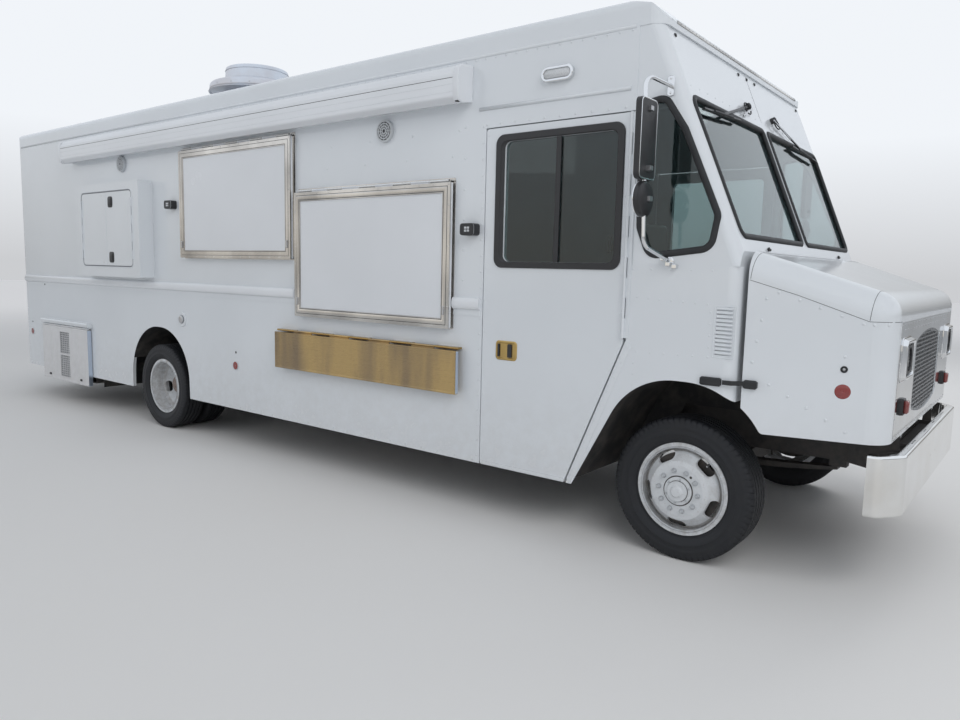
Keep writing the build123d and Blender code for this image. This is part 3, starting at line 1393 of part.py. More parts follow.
with BuildPart() as radiator:
    slab(RADIATOR_X, (-RADIATOR_HALF, RADIATOR_HALF), (RADIATOR_Z[0], RADIATOR_Z[1] - TANK_H))
    for half, z in (
        (RAIL_Y - RAIL_T, (RADIATOR_Z[1] - TANK_H, RADIATOR_Z[1])),
        (RADIATOR_HALF, (RADIATOR_Z[0], RADIATOR_Z[0] + TANK_H)),
    ):
        slab((RADIATOR_X[0] - 10, RADIATOR_X[1] + 10), (-half, half), z)
with BuildPart() as power_unit:
    add(engine.part)
    add(gearbox.part)
    add(radiator.part)
save(power_unit, "engine_block")

# Tank and exhaust under the floor
TANK_X = (AXLE_F - 3700, AXLE_F - 2500)
TANK_W = 600
TANK_MID_Z = 595
PIPE_R = 38
MUFFLER_X = (AXLE_F - 3300, AXLE_F - 2400)
EXHAUST_Y = -580
EXHAUST_Z = 600
with BuildPart() as fuel_tank:
    with BuildSketch(Plane.YZ.offset(TANK_X[0])):
        with Locations((RAIL_Y + TANK_W / 2 + 2, TANK_MID_Z)):
            RectangleRounded(TANK_W, 340, 90)
    extrude(amount=TANK_X[1] - TANK_X[0])
    for x in (TANK_X[0] + 250, TANK_X[1] - 250):
        slab((x - 30, x + 30), (RAIL_Y, RAIL_Y + 120), (740, RAIL_TOP))
save(fuel_tank, "fuel_tank")
with BuildPart() as exhaust:
    with BuildLine() as pipe:
        FilletPolyline(
            (AXLE_F - 1500, EXHAUST_Y, EXHAUST_Z),
            (AXLE_F - 4200, EXHAUST_Y, EXHAUST_Z),
            (AXLE_F - 4420, -HALF + 90, EXHAUST_Z - 180),
            radius=140,
        )
    with BuildSketch(Plane(origin=pipe.line @ 0, z_dir=pipe.line % 0)):
        Circle(PIPE_R)
    sweep()
    with BuildSketch(Plane.YZ.offset(MUFFLER_X[0])):
        with Locations((EXHAUST_Y, EXHAUST_Z)):
            Ellipse(140, 95)
    extrude(amount=MUFFLER_X[1] - MUFFLER_X[0])
    for x in (AXLE_F - 3000, AXLE_F - 1800):
        slab((x - 15, x + 15), (EXHAUST_Y - 6, EXHAUST_Y + 6), (EXHAUST_Z + 20, RAIL_TOP))
save(exhaust, "exhaust")

# Floor with step wells, and wheel wells
STEP_X = (DOOR_REAR + 10, DOOR_FOOT_X - 4)
STEP_IN = 800
STEP_TREAD = 1000
STEP_EDGE = HALF - DOOR_T - 8
STEP_Z = (400, 630)
STEP_T = 12
WELL_IN = 590
WELL_T = 8
LINER_GAP = 10
MUDFLAP_X = 1220
MUDFLAP_Y = (-1195, -720)
REAR_WELL_IN = 690
INNER = HALF - WALL
with BuildPart() as floor:
    with BuildSketch(Plane.XY.offset(RAIL_TOP)):
        make_face(outline([
            (REAR_WALL_X + WALL, -INNER),
            (COWL_X - WALL, -INNER),
            (COWL_X - WALL, INNER),
            (REAR_WALL_X + WALL, INNER),
        ], [21, 0, 0, 21]))
        for hand in (-1, 1):
            make_face(outline([
                (AXLE_R - 520, hand * REAR_WELL_IN),
                (AXLE_R + 520, hand * REAR_WELL_IN),
                (AXLE_R + 520, hand * (INNER + 1)),
                (AXLE_R - 520, hand * (INNER + 1)),
            ]), mode=Mode.SUBTRACT)
            make_face(outline([
                (AXLE_F - 640, hand * WELL_IN),
                (COWL_X, hand * WELL_IN),
                (COWL_X, hand * (INNER + 1)),
                (AXLE_F - 640, hand * (INNER + 1)),
            ]), mode=Mode.SUBTRACT)
            make_face(outline([
                (STEP_X[0], hand * STEP_IN),
                (STEP_X[1], hand * STEP_IN),
                (STEP_X[1], hand * (INNER + 1)),
                (STEP_X[0], hand * (INNER + 1)),
            ]), mode=Mode.SUBTRACT)
        make_face(outline([
            (AXLE_F - 330, -ENGINE_BAY_HALF),
            (COWL_X, -ENGINE_BAY_HALF),
            (COWL_X, ENGINE_BAY_HALF),
            (AXLE_F - 330, ENGINE_BAY_HALF),
        ]), mode=Mode.SUBTRACT)
    extrude(amount=FLOOR)
    for hand in (-1, 1):
        with BuildSketch(Plane.YZ.offset(STEP_X[0])):
            make_face(outline([
                (hand * STEP_EDGE, STEP_Z[0]),
                (hand * (STEP_TREAD - STEP_T), STEP_Z[0]),
                (hand * (STEP_TREAD - STEP_T), STEP_Z[1]),
                (hand * (STEP_IN - STEP_T), STEP_Z[1]),
                (hand * (STEP_IN - STEP_T), FLOOR_Z),
                (hand * STEP_IN, FLOOR_Z),
                (hand * STEP_IN, STEP_Z[1] + STEP_T),
                (hand * STEP_TREAD, STEP_Z[1] + STEP_T),
                (hand * STEP_TREAD, STEP_Z[0] + STEP_T),
                (hand * STEP_EDGE, STEP_Z[0] + STEP_T),
            ]))
        extrude(amount=STEP_X[1] - STEP_X[0])
save(floor, "floor")


def wheel_well(arch, radii, keep, inner_y):
    """Wheel well behind an arch on the kerb side: a liner that follows the arch, and an upright inner wall.

    keep is the outline, seen from the side, of the part of the liner that is kept.
    """
    with BuildPart() as well:
        with BuildSketch(side_plane(HALF - ARCH_SKIN)):
            make_face(outline(arch, radii))
            offset(amount=LINER_GAP + WELL_T)
            make_face(outline(keep), mode=Mode.INTERSECT)
        extrude(amount=inner_y - HALF + ARCH_SKIN)
        with BuildSketch(side_plane(HALF - ARCH_SKIN)):
            make_face(outline(arch, radii))
            offset(amount=LINER_GAP)
        extrude(amount=inner_y - HALF + ARCH_SKIN + WELL_T, mode=Mode.SUBTRACT)
    return well


rear_well = wheel_well(REAR_ARCH, REAR_ARCH_R, [
    (AXLE_R - 560, 640),
    (AXLE_R + 580, 640),
    (AXLE_R + 580, 1100),
    (AXLE_R - 560, 1100),
], REAR_WELL_IN)
front_well = wheel_well(FRONT_ARCH, FRONT_ARCH_R, [
    (AXLE_F - 640, SKIRT_Z + 30),
    (AXLE_F - 400, SKIRT_Z + 30),
    (AXLE_F - 200, RAIL_TOP),
    (COWL_X - WALL - 1, RAIL_TOP),
    (COWL_X - WALL - 1, 1100),
    (AXLE_F - 640, 1100),
], WELL_IN)
with BuildPart() as mudflap:
    slab((AXLE_R - MUDFLAP_X - 6, AXLE_R - MUDFLAP_X), MUDFLAP_Y, (250, RAIL_TOP))
with BuildPart() as wells:
    add(rear_well.part)
    add(front_well.part)
    slab((COWL_POST_X - FIT, COWL_X), (-HALF, -INNER), (RAIL_TOP, WAIST_Z), mode=Mode.SUBTRACT)
    add(mudflap.part)
save(both_sides(wells), "wheel_wells")

# Cab fittings
COVER_REAR_X = AXLE_F - 420
COVER_HALF = 460
COVER_TOP = 1340
COVER_T = 15
with BuildPart() as engine_cover:
    slab((COVER_REAR_X, COWL_X - WALL), (-COVER_HALF, COVER_HALF), (FLOOR_Z, COVER_TOP))
    slab(
        (COVER_REAR_X + COVER_T, COWL_X - WALL),
        (-COVER_HALF + COVER_T, COVER_HALF - COVER_T),
        (FLOOR_Z - 1, COVER_TOP - COVER_T),
        mode=Mode.SUBTRACT,
    )
    fillet(engine_cover.part.edges().filter_by(Axis.X).group_by(Axis.Z)[-1], 14)
DASH_HALF = 1165
with BuildPart() as dashboard:
    with BuildSketch(side_plane(DASH_HALF)):
        make_face(outline([
            (COWL_X - WALL, 1350),
            (COWL_X - WALL, 1600),
            (COWL_X - WALL - 120, 1620),
            (COWL_X - WALL - 260, 1560),
            (COWL_X - WALL - 280, 1380),
        ], [0, 0, 30, 40, 20]))
    extrude(amount=-2 * DASH_HALF)
with BuildPart() as cab_trim:
    add(dashboard.part)
    add(engine_cover.part)
save(cab_trim, "dashboard")
SEAT_Y = 640
CUSHION_X = (AXLE_F - 1060, AXLE_F - 600)
CUSHION_Z = (1190, 1320)
CUSHION_W = 400
WHEEL_HUB = (AXLE_F - 300, SEAT_Y, 1640)
COLUMN_L = 390
with BuildPart() as steering:
    column = Plane(origin=WHEEL_HUB, z_dir=(-0.8, 0, 0.6))
    with BuildSketch(column):
        Circle(28)
    extrude(amount=-COLUMN_L)
    with BuildSketch(column):
        Circle(50)
        with PolarLocations(0, 3, start_angle=90):
            with Locations((110, 0)):
                Rectangle(200, 28)
    extrude(amount=12)
    with Locations(column.offset(6).location):
        Torus(215, 15)
    add(dashboard.part, mode=Mode.SUBTRACT)
save(steering, "steering_wheel")
seat_side = SEAT_Y - 50 - CUSHION_W / 2
with BuildPart() as seat:
    slab(CUSHION_X, (seat_side, seat_side + CUSHION_W), CUSHION_Z)
    with BuildSketch(side_plane(-seat_side)):
        make_face(outline([
            (AXLE_F - 1040, 1240),
            (AXLE_F - 930, 1240),
            (AXLE_F - 1010, 1980),
            (AXLE_F - 1100, 1980),
        ], [20, 20, 40, 40]))
    extrude(amount=-CUSHION_W)
    slab(
        (CUSHION_X[0] + 100, CUSHION_X[1] - 100),
        (seat_side + 80, seat_side + CUSHION_W - 80),
        (FLOOR_Z, CUSHION_Z[0]),
    )
save(seat, "driver_seat")

# Mirrors on tube arms
MIRROR_Y = -HALF - 210
MIRROR_X = AXLE_F - 150
MIRROR_FLAT = (180, 394)
MIRROR_FLAT_Z = 2252
MIRROR_ROUND_R = 90
MIRROR_ROUND_Z = 1960
TUBE_R = 11


def mirror_tube(radius):
    """Bent tube that carries the mirrors on the kerb side."""
    with BuildPart() as tube:
        with BuildLine() as arm:
            FilletPolyline(
                (AXLE_F - 108, -SHELL_HALF, 2548),
                (MIRROR_X, MIRROR_Y, 2569),
                (MIRROR_X + 30, MIRROR_Y, 1730),
                (AXLE_F - 70, -SHELL_HALF, 1655),
                radius=60,
            )
        with BuildSketch(Plane(origin=arm.line @ 0, z_dir=arm.line % 0)):
            Circle(radius)
        sweep()
        slab((AXLE_F - 300, AXLE_F + 100), (-SHELL_HALF, -SHELL_HALF + 100), (1500, 2700), mode=Mode.SUBTRACT)
    return tube


mirror_arm = mirror_tube(TUBE_R)
with BuildPart() as mirror_head:
    with BuildSketch(Plane.YZ.offset(MIRROR_X)):
        with Locations((MIRROR_Y, MIRROR_FLAT_Z)):
            RectangleRounded(*MIRROR_FLAT, 30)
    extrude(amount=32)
    with BuildSketch(Plane.YZ.offset(MIRROR_X + 5)):
        with Locations((MIRROR_Y, MIRROR_ROUND_Z)):
            Circle(MIRROR_ROUND_R)
    extrude(amount=24)
    add(mirror_tube(TUBE_R + FIT).part, mode=Mode.SUBTRACT)
save(both_sides(mirror_arm), "mirror_arms")
save(both_sides(mirror_head), "mirror_heads")

# Roof fan
FAN_AT = (AXLE_F - 4560, -560)
with BuildPart() as roof_fan:
    with BuildSketch(Plane(origin=(*FAN_AT, 0), x_dir=(1, 0, 0), z_dir=(0, -1, 0))):
        make_face(outline([
            (0, ROOF_TOP_Z - 30),
            (300, ROOF_TOP_Z - 30),
            (300, ROOF_TOP_Z + 110),
            (430, ROOF_TOP_Z + 120),
            (420, ROOF_TOP_Z + 190),
            (290, ROOF_TOP_Z + 215),
            (280, ROOF_TOP_Z + 335),
            (240, ROOF_TOP_Z + 345),
            (0, ROOF_TOP_Z + 345),
        ], [0, 0, 10, 20, 30, 20, 12, 10, 0]))
    revolve(axis=Axis((*FAN_AT, 0), (0, 0, 1)))
    add(roof.part, mode=Mode.SUBTRACT)
save(roof_fan, "roof_fan")

# Small fittings on the kerb side
FITTINGS = (
    # x, z, radius, how far it stands out
    (AXLE_F - 2169, 2510, 75, 22),
    (AXLE_F - 5806, 2535, 75, 22),
    (AXLE_F - 4787, 1076, 66, 5),
    (AXLE_F - 4787, 1076, 34, 22),
    (AXLE_F - 8072, 747, 35.5, 8),
    (AXLE_F - 3961, 728, 35.5, 8),
)
SCENE_LAMP_AT = ((AXLE_F - 1395, 1838), (AXLE_F - 4895, 2111))
MARKER_AT = (AXLE_F - 792, 2700)
REAR_LAMP_Y = 1000
REAR_LAMP_Z = (760, 920, 2760)
with BuildPart() as fittings:
    for x, z, radius, proud in FITTINGS:
        with BuildSketch(side_plane(HALF)):
            with Locations((x, z)):
                Circle(radius)
        extrude(amount=proud)
    with BuildSketch(side_plane(HALF)):
        with Locations(*SCENE_LAMP_AT):
            RectangleRounded(110, 72, 18)
    extrude(amount=60)
    with BuildSketch(side_plane(HALF)):
        with Locations(MARKER_AT):
            SlotOverall(203, 76)
    extrude(amount=24)

with BuildPart() as rear_lamps:
    for y in (-REAR_LAMP_Y, REAR_LAMP_Y):
        with BuildSketch(Plane.YZ.offset(REAR_WALL_X)):
            for z in REAR_LAMP_Z:
                with Locations((y, z)):
                    Circle(50)
        extrude(amount=-30)
with BuildPart() as body_fittings:
    add(fittings.part)
    add(rear_lamps.part)
save(body_fittings, "body_fittings")
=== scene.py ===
"""Looks of a walk-in van food truck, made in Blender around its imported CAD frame.

Lengths are metres in the truck's frame: +X forward, +Y to the driver's side, +Z up, ground at zero.
"""

import bpy
import numpy as np
from mathutils import Matrix, Vector
from mathutils.bvhtree import BVHTree
from mathutils.geometry import tessellate_polygon


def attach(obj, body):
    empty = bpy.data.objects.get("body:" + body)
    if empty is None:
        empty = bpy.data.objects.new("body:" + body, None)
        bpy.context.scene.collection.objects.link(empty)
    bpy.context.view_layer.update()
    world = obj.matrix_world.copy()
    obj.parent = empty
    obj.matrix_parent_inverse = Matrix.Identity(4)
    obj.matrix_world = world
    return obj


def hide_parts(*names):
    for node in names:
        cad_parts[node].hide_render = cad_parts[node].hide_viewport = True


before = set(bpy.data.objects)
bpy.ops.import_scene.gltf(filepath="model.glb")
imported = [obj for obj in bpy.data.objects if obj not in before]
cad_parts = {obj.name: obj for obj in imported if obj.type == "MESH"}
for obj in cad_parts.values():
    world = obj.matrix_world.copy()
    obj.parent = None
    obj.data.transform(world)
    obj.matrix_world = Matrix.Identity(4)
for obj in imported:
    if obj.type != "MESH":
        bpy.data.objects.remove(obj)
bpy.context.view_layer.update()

# Body panels: riveted aluminium sheet over posts and bows, sprayed with white gloss enamel.
# The sprayed film is faintly uneven, and the skirts carry a little road dust.
FRONT_AXLE = 3.721
SIDE = 1.24
BODY_WHITE = (0.78, 0.81, 0.84)
DUST = (0.42, 0.39, 0.35)
SIDES = ((-1, "right"), (1, "left"))


def add_node(tree, kind, inputs=(), **settings):
    """One shader node, with its options, and its inputs given as values or as other nodes' outputs."""
    node = tree.nodes.new("ShaderNode" + kind)
    for option, value in settings.items():
        setattr(node, option, value)
    for socket, value in inputs:
        if isinstance(value, bpy.types.NodeSocket):
            tree.links.new(value, node.inputs[socket])
        else:
            node.inputs[socket].default_value = value
    return node


def on_object(tree):
    """Object coordinates."""
    return add_node(tree, "TexCoord").outputs["Object"]


def noise(tree, place, scale, detail, roughness=0.5):
    """Noise of a scale, from nought to one."""
    inputs = (("Vector", place), ("Scale", scale), ("Detail", detail), ("Roughness", roughness))
    return add_node(tree, "TexNoise", inputs).outputs["Fac"]


def ranged(tree, value, low, high, new_low=0.0, new_high=1.0, **settings):
    """A value carried in proportion from one range to another and held inside it."""
    inputs = (
        ("Value", value), ("From Min", low), ("From Max", high), ("To Min", new_low), ("To Max", new_high),
    )
    return add_node(tree, "MapRange", inputs, **settings).outputs["Result"]


def reckoned(tree, operation, *values, **settings):
    """What an operation makes of values, such as their sum, their product or whether one is less."""
    return add_node(tree, "Math", enumerate(values), operation=operation, **settings).outputs[0]


def times(tree, vector, factors):
    """A vector whose numbers are each multiplied by a factor of their own."""
    return add_node(tree, "VectorMath", ((0, vector), (1, factors)), operation="MULTIPLY").outputs["Vector"]


def brightened(tree, colour, amount):
    """A colour multiplied by one amount."""
    return add_node(tree, "VectorMath", ((0, colour), ("Scale", amount)), operation="SCALE").outputs["Vector"]


def blend(tree, amount, first, second, **settings):
    """The first colour where the amount is nought and the second where it is one."""
    first, second = (
        value if isinstance(value, bpy.types.NodeSocket) else (*value, 1) for value in (first, second)
    )
    inputs = (("Factor", amount), ("A", first), ("B", second))
    return add_node(tree, "Mix", inputs, data_type="RGBA", **settings).outputs["Result"]


def bump(tree, height, strength, distance):
    """Normals tilted by the slope of a height."""
    inputs = (("Strength", strength), ("Distance", distance), ("Height", height))
    return add_node(tree, "Bump", inputs).outputs["Normal"]


def start_group(name, **looks):
    """A group that gives colour, roughness and normal. Its inputs have these names and these usual values."""
    group = bpy.data.node_groups.new(name, "ShaderNodeTree")
    for look, value in looks.items():
        kind = "Color" if "Colour" in look else "Vector" if "Along" in look else "Float"
        socket_name = look.replace("_", " ")
        socket = group.interface.new_socket(name=socket_name, in_out="INPUT", socket_type="NodeSocket" + kind)
        socket.default_value = (*value, 1) if kind == "Color" else value
    for socket_name, kind in (("Colour", "Color"), ("Roughness", "Float"), ("Normal", "Vector")):
        group.interface.new_socket(name=socket_name, in_out="OUTPUT", socket_type="NodeSocket" + kind)
    return group, group.nodes.new("NodeGroupInput").outputs, on_object(group)


def end_group(group, colour, roughness, normal):
    """Leads a group's results to its outputs."""
    result = group.nodes.new("NodeGroupOutput")
    for socket, value in (("Colour", colour), ("Roughness", roughness), ("Normal", normal)):
        group.links.new(value, result.inputs[socket])
    return group


def new_material(name):
    """A material, its node tree and the inputs of its shader."""
    material = bpy.data.materials.new(name)
    material.use_nodes = True
    return material, material.node_tree, material.node_tree.nodes["Principled BSDF"].inputs


def enamel_group():
    """Sprayed enamel: slow drift of tone, fine orange peel, and dust that thickens towards the ground."""
    group, given, place = start_group(
        "Enamel film", Colour=BODY_WHITE, Dust_Colour=DUST, Dust_Top=1.0, Dust_Amount=0.3,
        Gloss_Roughness=0.14, Peel=0.12,
    )
    drift = noise(group, place, 0.8, 4.0)
    toned = brightened(group, given["Colour"], ranged(group, drift, 0.3, 0.7, 0.955, 1.02))
    height = add_node(group, "SeparateXYZ", (("Vector", place),)).outputs["Z"]
    low = ranged(group, height, given["Dust Top"], 0.2)
    patch = ranged(group, noise(group, place, 14.0, 8.0, 0.65), 0.35, 0.75, 0.15, 1.0)
    amount = reckoned(group, "MULTIPLY", reckoned(group, "MULTIPLY", low, patch), given["Dust Amount"])
    dusty = blend(group, amount, toned, given["Dust Colour"])
    haze = reckoned(group, "MULTIPLY_ADD", drift, 0.08, given["Gloss Roughness"])
    dull = reckoned(group, "MULTIPLY_ADD", amount, 0.6, haze)
    peel = bump(group, noise(group, place, 260.0, 2.0), given["Peel"], 0.0006)
    return end_group(group, dusty, dull, peel)


def finish_from(name, group, **looks):
    """A material whose shader takes colour, roughness and normal from a group. A look sets the group's input
    of that name or, where the group has none, the shader's."""
    material, tree, inputs = new_material(name)
    effect = add_node(tree, "Group", node_tree=group)
    for look, value in looks.items():
        socket = look.replace("_", " ")
        taker = effect.inputs if socket in effect.inputs else inputs
        taker[socket].default_value = (*value, 1) if "Colour" in socket else value
    for source, target in (("Colour", "Base Color"), ("Roughness", "Roughness"), ("Normal", "Normal")):
        tree.links.new(effect.outputs[source], inputs[target])
    return material


def coat_nodes(material, *names):
    """Gives CAD nodes their material."""
    for name in names:
        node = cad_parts[name]
        node.data.materials.clear()
        node.data.materials.append(material)


enamel = enamel_group()
body_enamel = finish_from("body_enamel", enamel, Colour=BODY_WHITE, Coat_Weight=0.35, Coat_Roughness=0.05)
coat_nodes(
    body_enamel, "wall_right", "wall_left", "roof", "rear_wall", "windshield_panel", "cowl", "hood",
    "entry_door", "driver_door", "rear_door_right", "rear_door_left", "cabinet", "belt_rails", "fixed_hinges",
)


# Rivets: domed aluminium heads, painted over with the body, in rows along every seam and post.
# They are driven through the sheet from outside, about every 75 to 100 mm.
RIVET_R = 0.0076
RIVET_H = 0.004
KERB = (0, -1, 0)


def make_piece(name, shape, material, body, crease=None):
    """A piece of one shape, or of a list of shapes, that rides on its body. Its surface is smooth, and edges
    over the crease's degrees stay crisp. A crease of nought leaves every face flat."""
    points, faces = joined(shape) if isinstance(shape, list) else shape
    mesh = bpy.data.meshes.new(name)
    mesh.from_pydata(np.asarray(points, float).reshape(-1, 3).tolist(), [], [list(face) for face in faces])
    mesh.materials.append(material)
    if crease != 0:
        mesh.polygons.foreach_set("use_smooth", np.ones(len(mesh.polygons), bool))
    mesh.update()
    if crease:
        mesh.set_sharp_from_angle(angle=np.radians(crease))
    piece = bpy.data.objects.new(name, mesh)
    bpy.context.scene.collection.objects.link(piece)
    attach(piece, body)
    return piece


def unit(vectors):
    """Vectors scaled to length one."""
    return vectors / np.maximum(np.linalg.norm(vectors, axis=-1, keepdims=True), 1e-12)


def grid_faces(rows, columns, close_rows=False, close_columns=False):
    """Quads of a grid of rows by columns, wrapped round where it closes."""
    r = np.arange(rows if close_rows else rows - 1)[:, None]
    c = np.arange(columns if close_columns else columns - 1)[None, :]
    right = (c + 1) % columns
    below = (r + 1) % rows
    corners = (r * columns + c, r * columns + right, below * columns + right, below * columns + c)
    return np.stack(corners, -1).reshape(-1, 4)


def joined(parts):
    """Several (points, faces) as one."""
    points = []
    faces = []
    total = 0
    for part_points, part_faces in parts:
        points.append(np.asarray(part_points, float).reshape(-1, 3))
        faces.extend([[index + total for index in face] for face in part_faces])
        total += len(points[-1])
    return np.concatenate(points), faces


def across(outward):
    """Two directions square to each outward direction and to each other."""
    helper = np.where(np.abs(outward[:, 2:3]) > 0.9, [[1.0, 0, 0]], [[0, 0, 1.0]])
    side = unit(np.cross(helper, outward))
    return side, np.cross(outward, side)


def heads(centres, outward, radius, height, sides=8, rings=3, sink=0.0004):
    """Domed heads: ring k has radius R cos(k pi / 2n) and stands H sin(k pi / 2n) off the surface, under one
    top point."""
    centres = np.asarray(centres, float).reshape(-1, 3)
    outward = unit(np.broadcast_to(np.asarray(outward, float), centres.shape))
    side, up = across(outward)
    lift = np.linspace(0, np.pi / 2, rings + 1)[:-1]
    turn = np.arange(sides) * 2 * np.pi / sides
    flat = (
        np.cos(lift)[:, None] * radius * np.stack((np.cos(turn), np.sin(turn)))[:, None, :]
    ).reshape(2, -1)
    flat = np.column_stack((flat, (0, 0)))
    stand = np.append(np.repeat(np.sin(lift) * height, sides), height) - sink
    points = (
        centres[:, None] + flat[0][
            None, :, None,
        ] * side[:, None] + flat[1][None, :, None] * up[:, None] + stand[None, :, None] * outward[:, None]
    )
    last = (rings - 1) * sides
    ring = np.arange(sides)
    cap = np.column_stack((last + ring, last + (ring + 1) % sides, np.full(sides, rings * sides)))
    one = grid_faces(rings, sides, close_columns=True).tolist() + cap.tolist()
    step = rings * sides + 1
    faces = [[index + number * step for index in face] for number in range(len(centres)) for face in one]
    return points.reshape(-1, 3), faces


def row(start, end, spacing):
    """Evenly spaced points from start to end, about a spacing apart."""
    start = np.asarray(start, float)
    end = np.asarray(end, float)
    count = max(2, int(round(np.linalg.norm(end - start) / spacing)) + 1)
    return start + np.linspace(0, 1, count)[:, None] * (end - start)


def lands(name):
    """Search tree of a CAD node's surface."""
    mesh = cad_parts[name].data
    return BVHTree.FromPolygons([v.co for v in mesh.vertices], [p.vertices for p in mesh.polygons])


def landed(tree, points, direction, reach=0.6):
    """Where rays from the points meet a surface, and the way it faces there. The rays share one direction or
    have one each."""
    rays = np.broadcast_to(np.asarray(direction, float), np.shape(points))
    found = [
        (tree.ray_cast(Vector(point), Vector(ray), reach), Vector(ray)) for point, ray in zip(points, rays)
    ]
    met = [(hit, face, ray) for (hit, face, index, distance), ray in found if hit is not None]
    places = np.array([hit for hit, face, ray in met]).reshape(-1, 3)
    facing = np.array([face if face.dot(ray) < 0 else -face for hit, face, ray in met]).reshape(-1, 3)
    return places, facing


def on_side(points, hand, stand=0.0):
    """Points given by x from the front axle and z, as places on one side's skin or standing off it.
    The hand is -1 on the kerb side."""
    points = np.asarray(points, float)
    return np.column_stack((
        FRONT_AXLE + points[:, 0], np.full(len(points), hand * (SIDE + stand)), points[:, 1],
    ))


def rows(*ends):
    """Rows of evenly spaced points, each given by the two numbers of both its ends and its spacing."""
    return np.concatenate([row((a0, b0), (a1, b1), spacing) for a0, b0, a1, b1, spacing in ends])


def rivets(name, places, facing, radius, height, body="root"):
    """Rivet heads under the body's paint."""
    return make_piece(name, heads(places, facing, radius, height), body_enamel, body)


SKIN_ROWS = (
    # x and z of both ends from the front axle, spacing
    (-8.17, 2.862, -0.34, 2.862, 0.075),
    (-1.323, 0.4, -1.323, 2.46, 0.1),
    (-2.78, 2.3, -1.57, 2.3, 0.4),
    (-2.73, 2.455, -1.52, 2.455, 0.4),
    (-1.469, 1.52, -1.469, 2.47, 0.19),
    (-8.19, 0.42, -8.19, 2.8, 0.15),
    (-1.3, 2.47, -0.36, 2.47, 0.11),
    (-8.1, 0.368, -7.8, 0.368, 0.15),
    (-6.5, 0.368, -5.75, 0.368, 0.15),
    (-4.66, 0.368, -1.36, 0.368, 0.15),
)
for hand, side_name in SIDES:
    rivets(f"skin_rivets_{side_name}", on_side(rows(*SKIN_ROWS), hand), (0, hand, 0), RIVET_R, RIVET_H)

# Drip mouldings: bent aluminium strips riveted over the roof seam, the doors and the windshield.
# They throw rain clear of the openings and cover the joints of the sheets.


def rounded_path(corners, radii, steps=6):
    """A closed outline whose corners are arcs: each turns evenly about a centre on the corner's bisector."""
    corners = np.asarray(corners, float)
    radii = np.broadcast_to(np.asarray(radii, float), len(corners))
    before = unit(np.roll(corners, 1, 0) - corners)
    after = unit(np.roll(corners, -1, 0) - corners)
    half = np.arccos(np.clip((before * after).sum(1), -1, 1)) / 2
    centre = corners + unit(before + after) * (radii / np.sin(half))[:, None]
    start = corners + before * (radii / np.tan(half))[:, None]
    end = corners + after * (radii / np.tan(half))[:, None]
    first = np.arctan2(*(start - centre).T[::-1])
    sweep = (np.arctan2(*(end - centre).T[::-1]) - first + np.pi) % (2 * np.pi) - np.pi
    turn = first[:, None] + sweep[:, None] * np.linspace(0, 1, steps + 1)
    arcs = centre[:, None] + radii[:, None, None] * np.stack((np.cos(turn), np.sin(turn)), -1)
    sharp = radii < 1e-6
    arcs[sharp] = corners[sharp, None]
    keep = np.ones(arcs.shape[:2], bool)
    keep[sharp, 1:] = False
    return arcs[keep]


def outward(points, faces):
    """Turns every face of a closed shape to point outwards, by the sign of the volume it encloses."""
    points = np.asarray(points, float).reshape(-1, 3)
    fans = np.array([(face[0], face[k], face[k + 1]) for face in faces for k in range(1, len(face) - 1)])
    first, second, third = points[fans].transpose(1, 0, 2)
    step = -1 if (first * np.cross(second, third)).sum() < 0 else 1
    return points, [list(face)[::step] for face in faces]


def stacked(layers):
    """Outlines of one count of points, joined in order into a skin that is covered at both ends."""
    count = len(layers[0])
    faces = grid_faces(len(layers), count, close_columns=True).tolist()
    faces += [list(range(count))[::-1], list(range((len(layers) - 1) * count, len(layers) * count))]
    return outward(np.concatenate(layers), faces)


def carried(profile, path, normal, closed=True):
    """A profile carried along a path. Its first number is measured across the path, square to the normal, and
    its second along the normal. At a corner it is stretched by one over the cosine of half the turn."""
    profile = np.asarray(profile, float)
    path = np.asarray(path, float)
    normal = unit(np.asarray(normal, float))
    ahead = np.roll(path, -1, 0) - path
    behind = path - np.roll(path, 1, 0)
    if not closed:
        ahead[-1] = behind[-1]
        behind[0] = ahead[0]
    ahead = unit(ahead)
    behind = unit(behind)
    along = unit(ahead + behind)
    stretch = 1 / np.maximum((along * ahead).sum(1), 0.3)
    side = unit(np.cross(along, normal)) * stretch[:, None]
    points = path[:, None] + profile[None, :, :1] * side[:, None] + profile[None, :, 1:] * normal[None, None]
    if not closed:
        return stacked(points)
    return outward(points, grid_faces(len(path), len(profile), close_rows=True, close_columns=True))


def bar(profile, path, normal):
    """A profile carried along an open path."""
    return carried(profile, path, normal, closed=False)


def mirrored(*half):
    """A section from its right half, given from its foot upwards."""
    return [*half, *((-s, h) for s, h in half[::-1])]


def half_round(width, height, steps=8):
    """Section of a moulding: an ellipse's upper half on a flat back."""
    turn = np.linspace(0, np.pi, steps + 1)
    return np.stack((np.cos(turn) * width / 2, np.sin(turn) * height), -1)


mouldings = []
for hand in (-1, 1):
    y = hand * (SIDE - 0.0008)
    for x0, x1, z, width, height in (
        (-8.16, -0.32, 2.88, 0.02, 0.007), (-1.357, -0.335, 2.566, 0.022, 0.012),
    ):
        line = [(FRONT_AXLE + x0, y, z), (FRONT_AXLE + x1, y, z)]
        mouldings.append(bar(half_round(width, height), line, (0, hand, 0)))
make_piece("drip_mouldings", mouldings, body_enamel, "root")

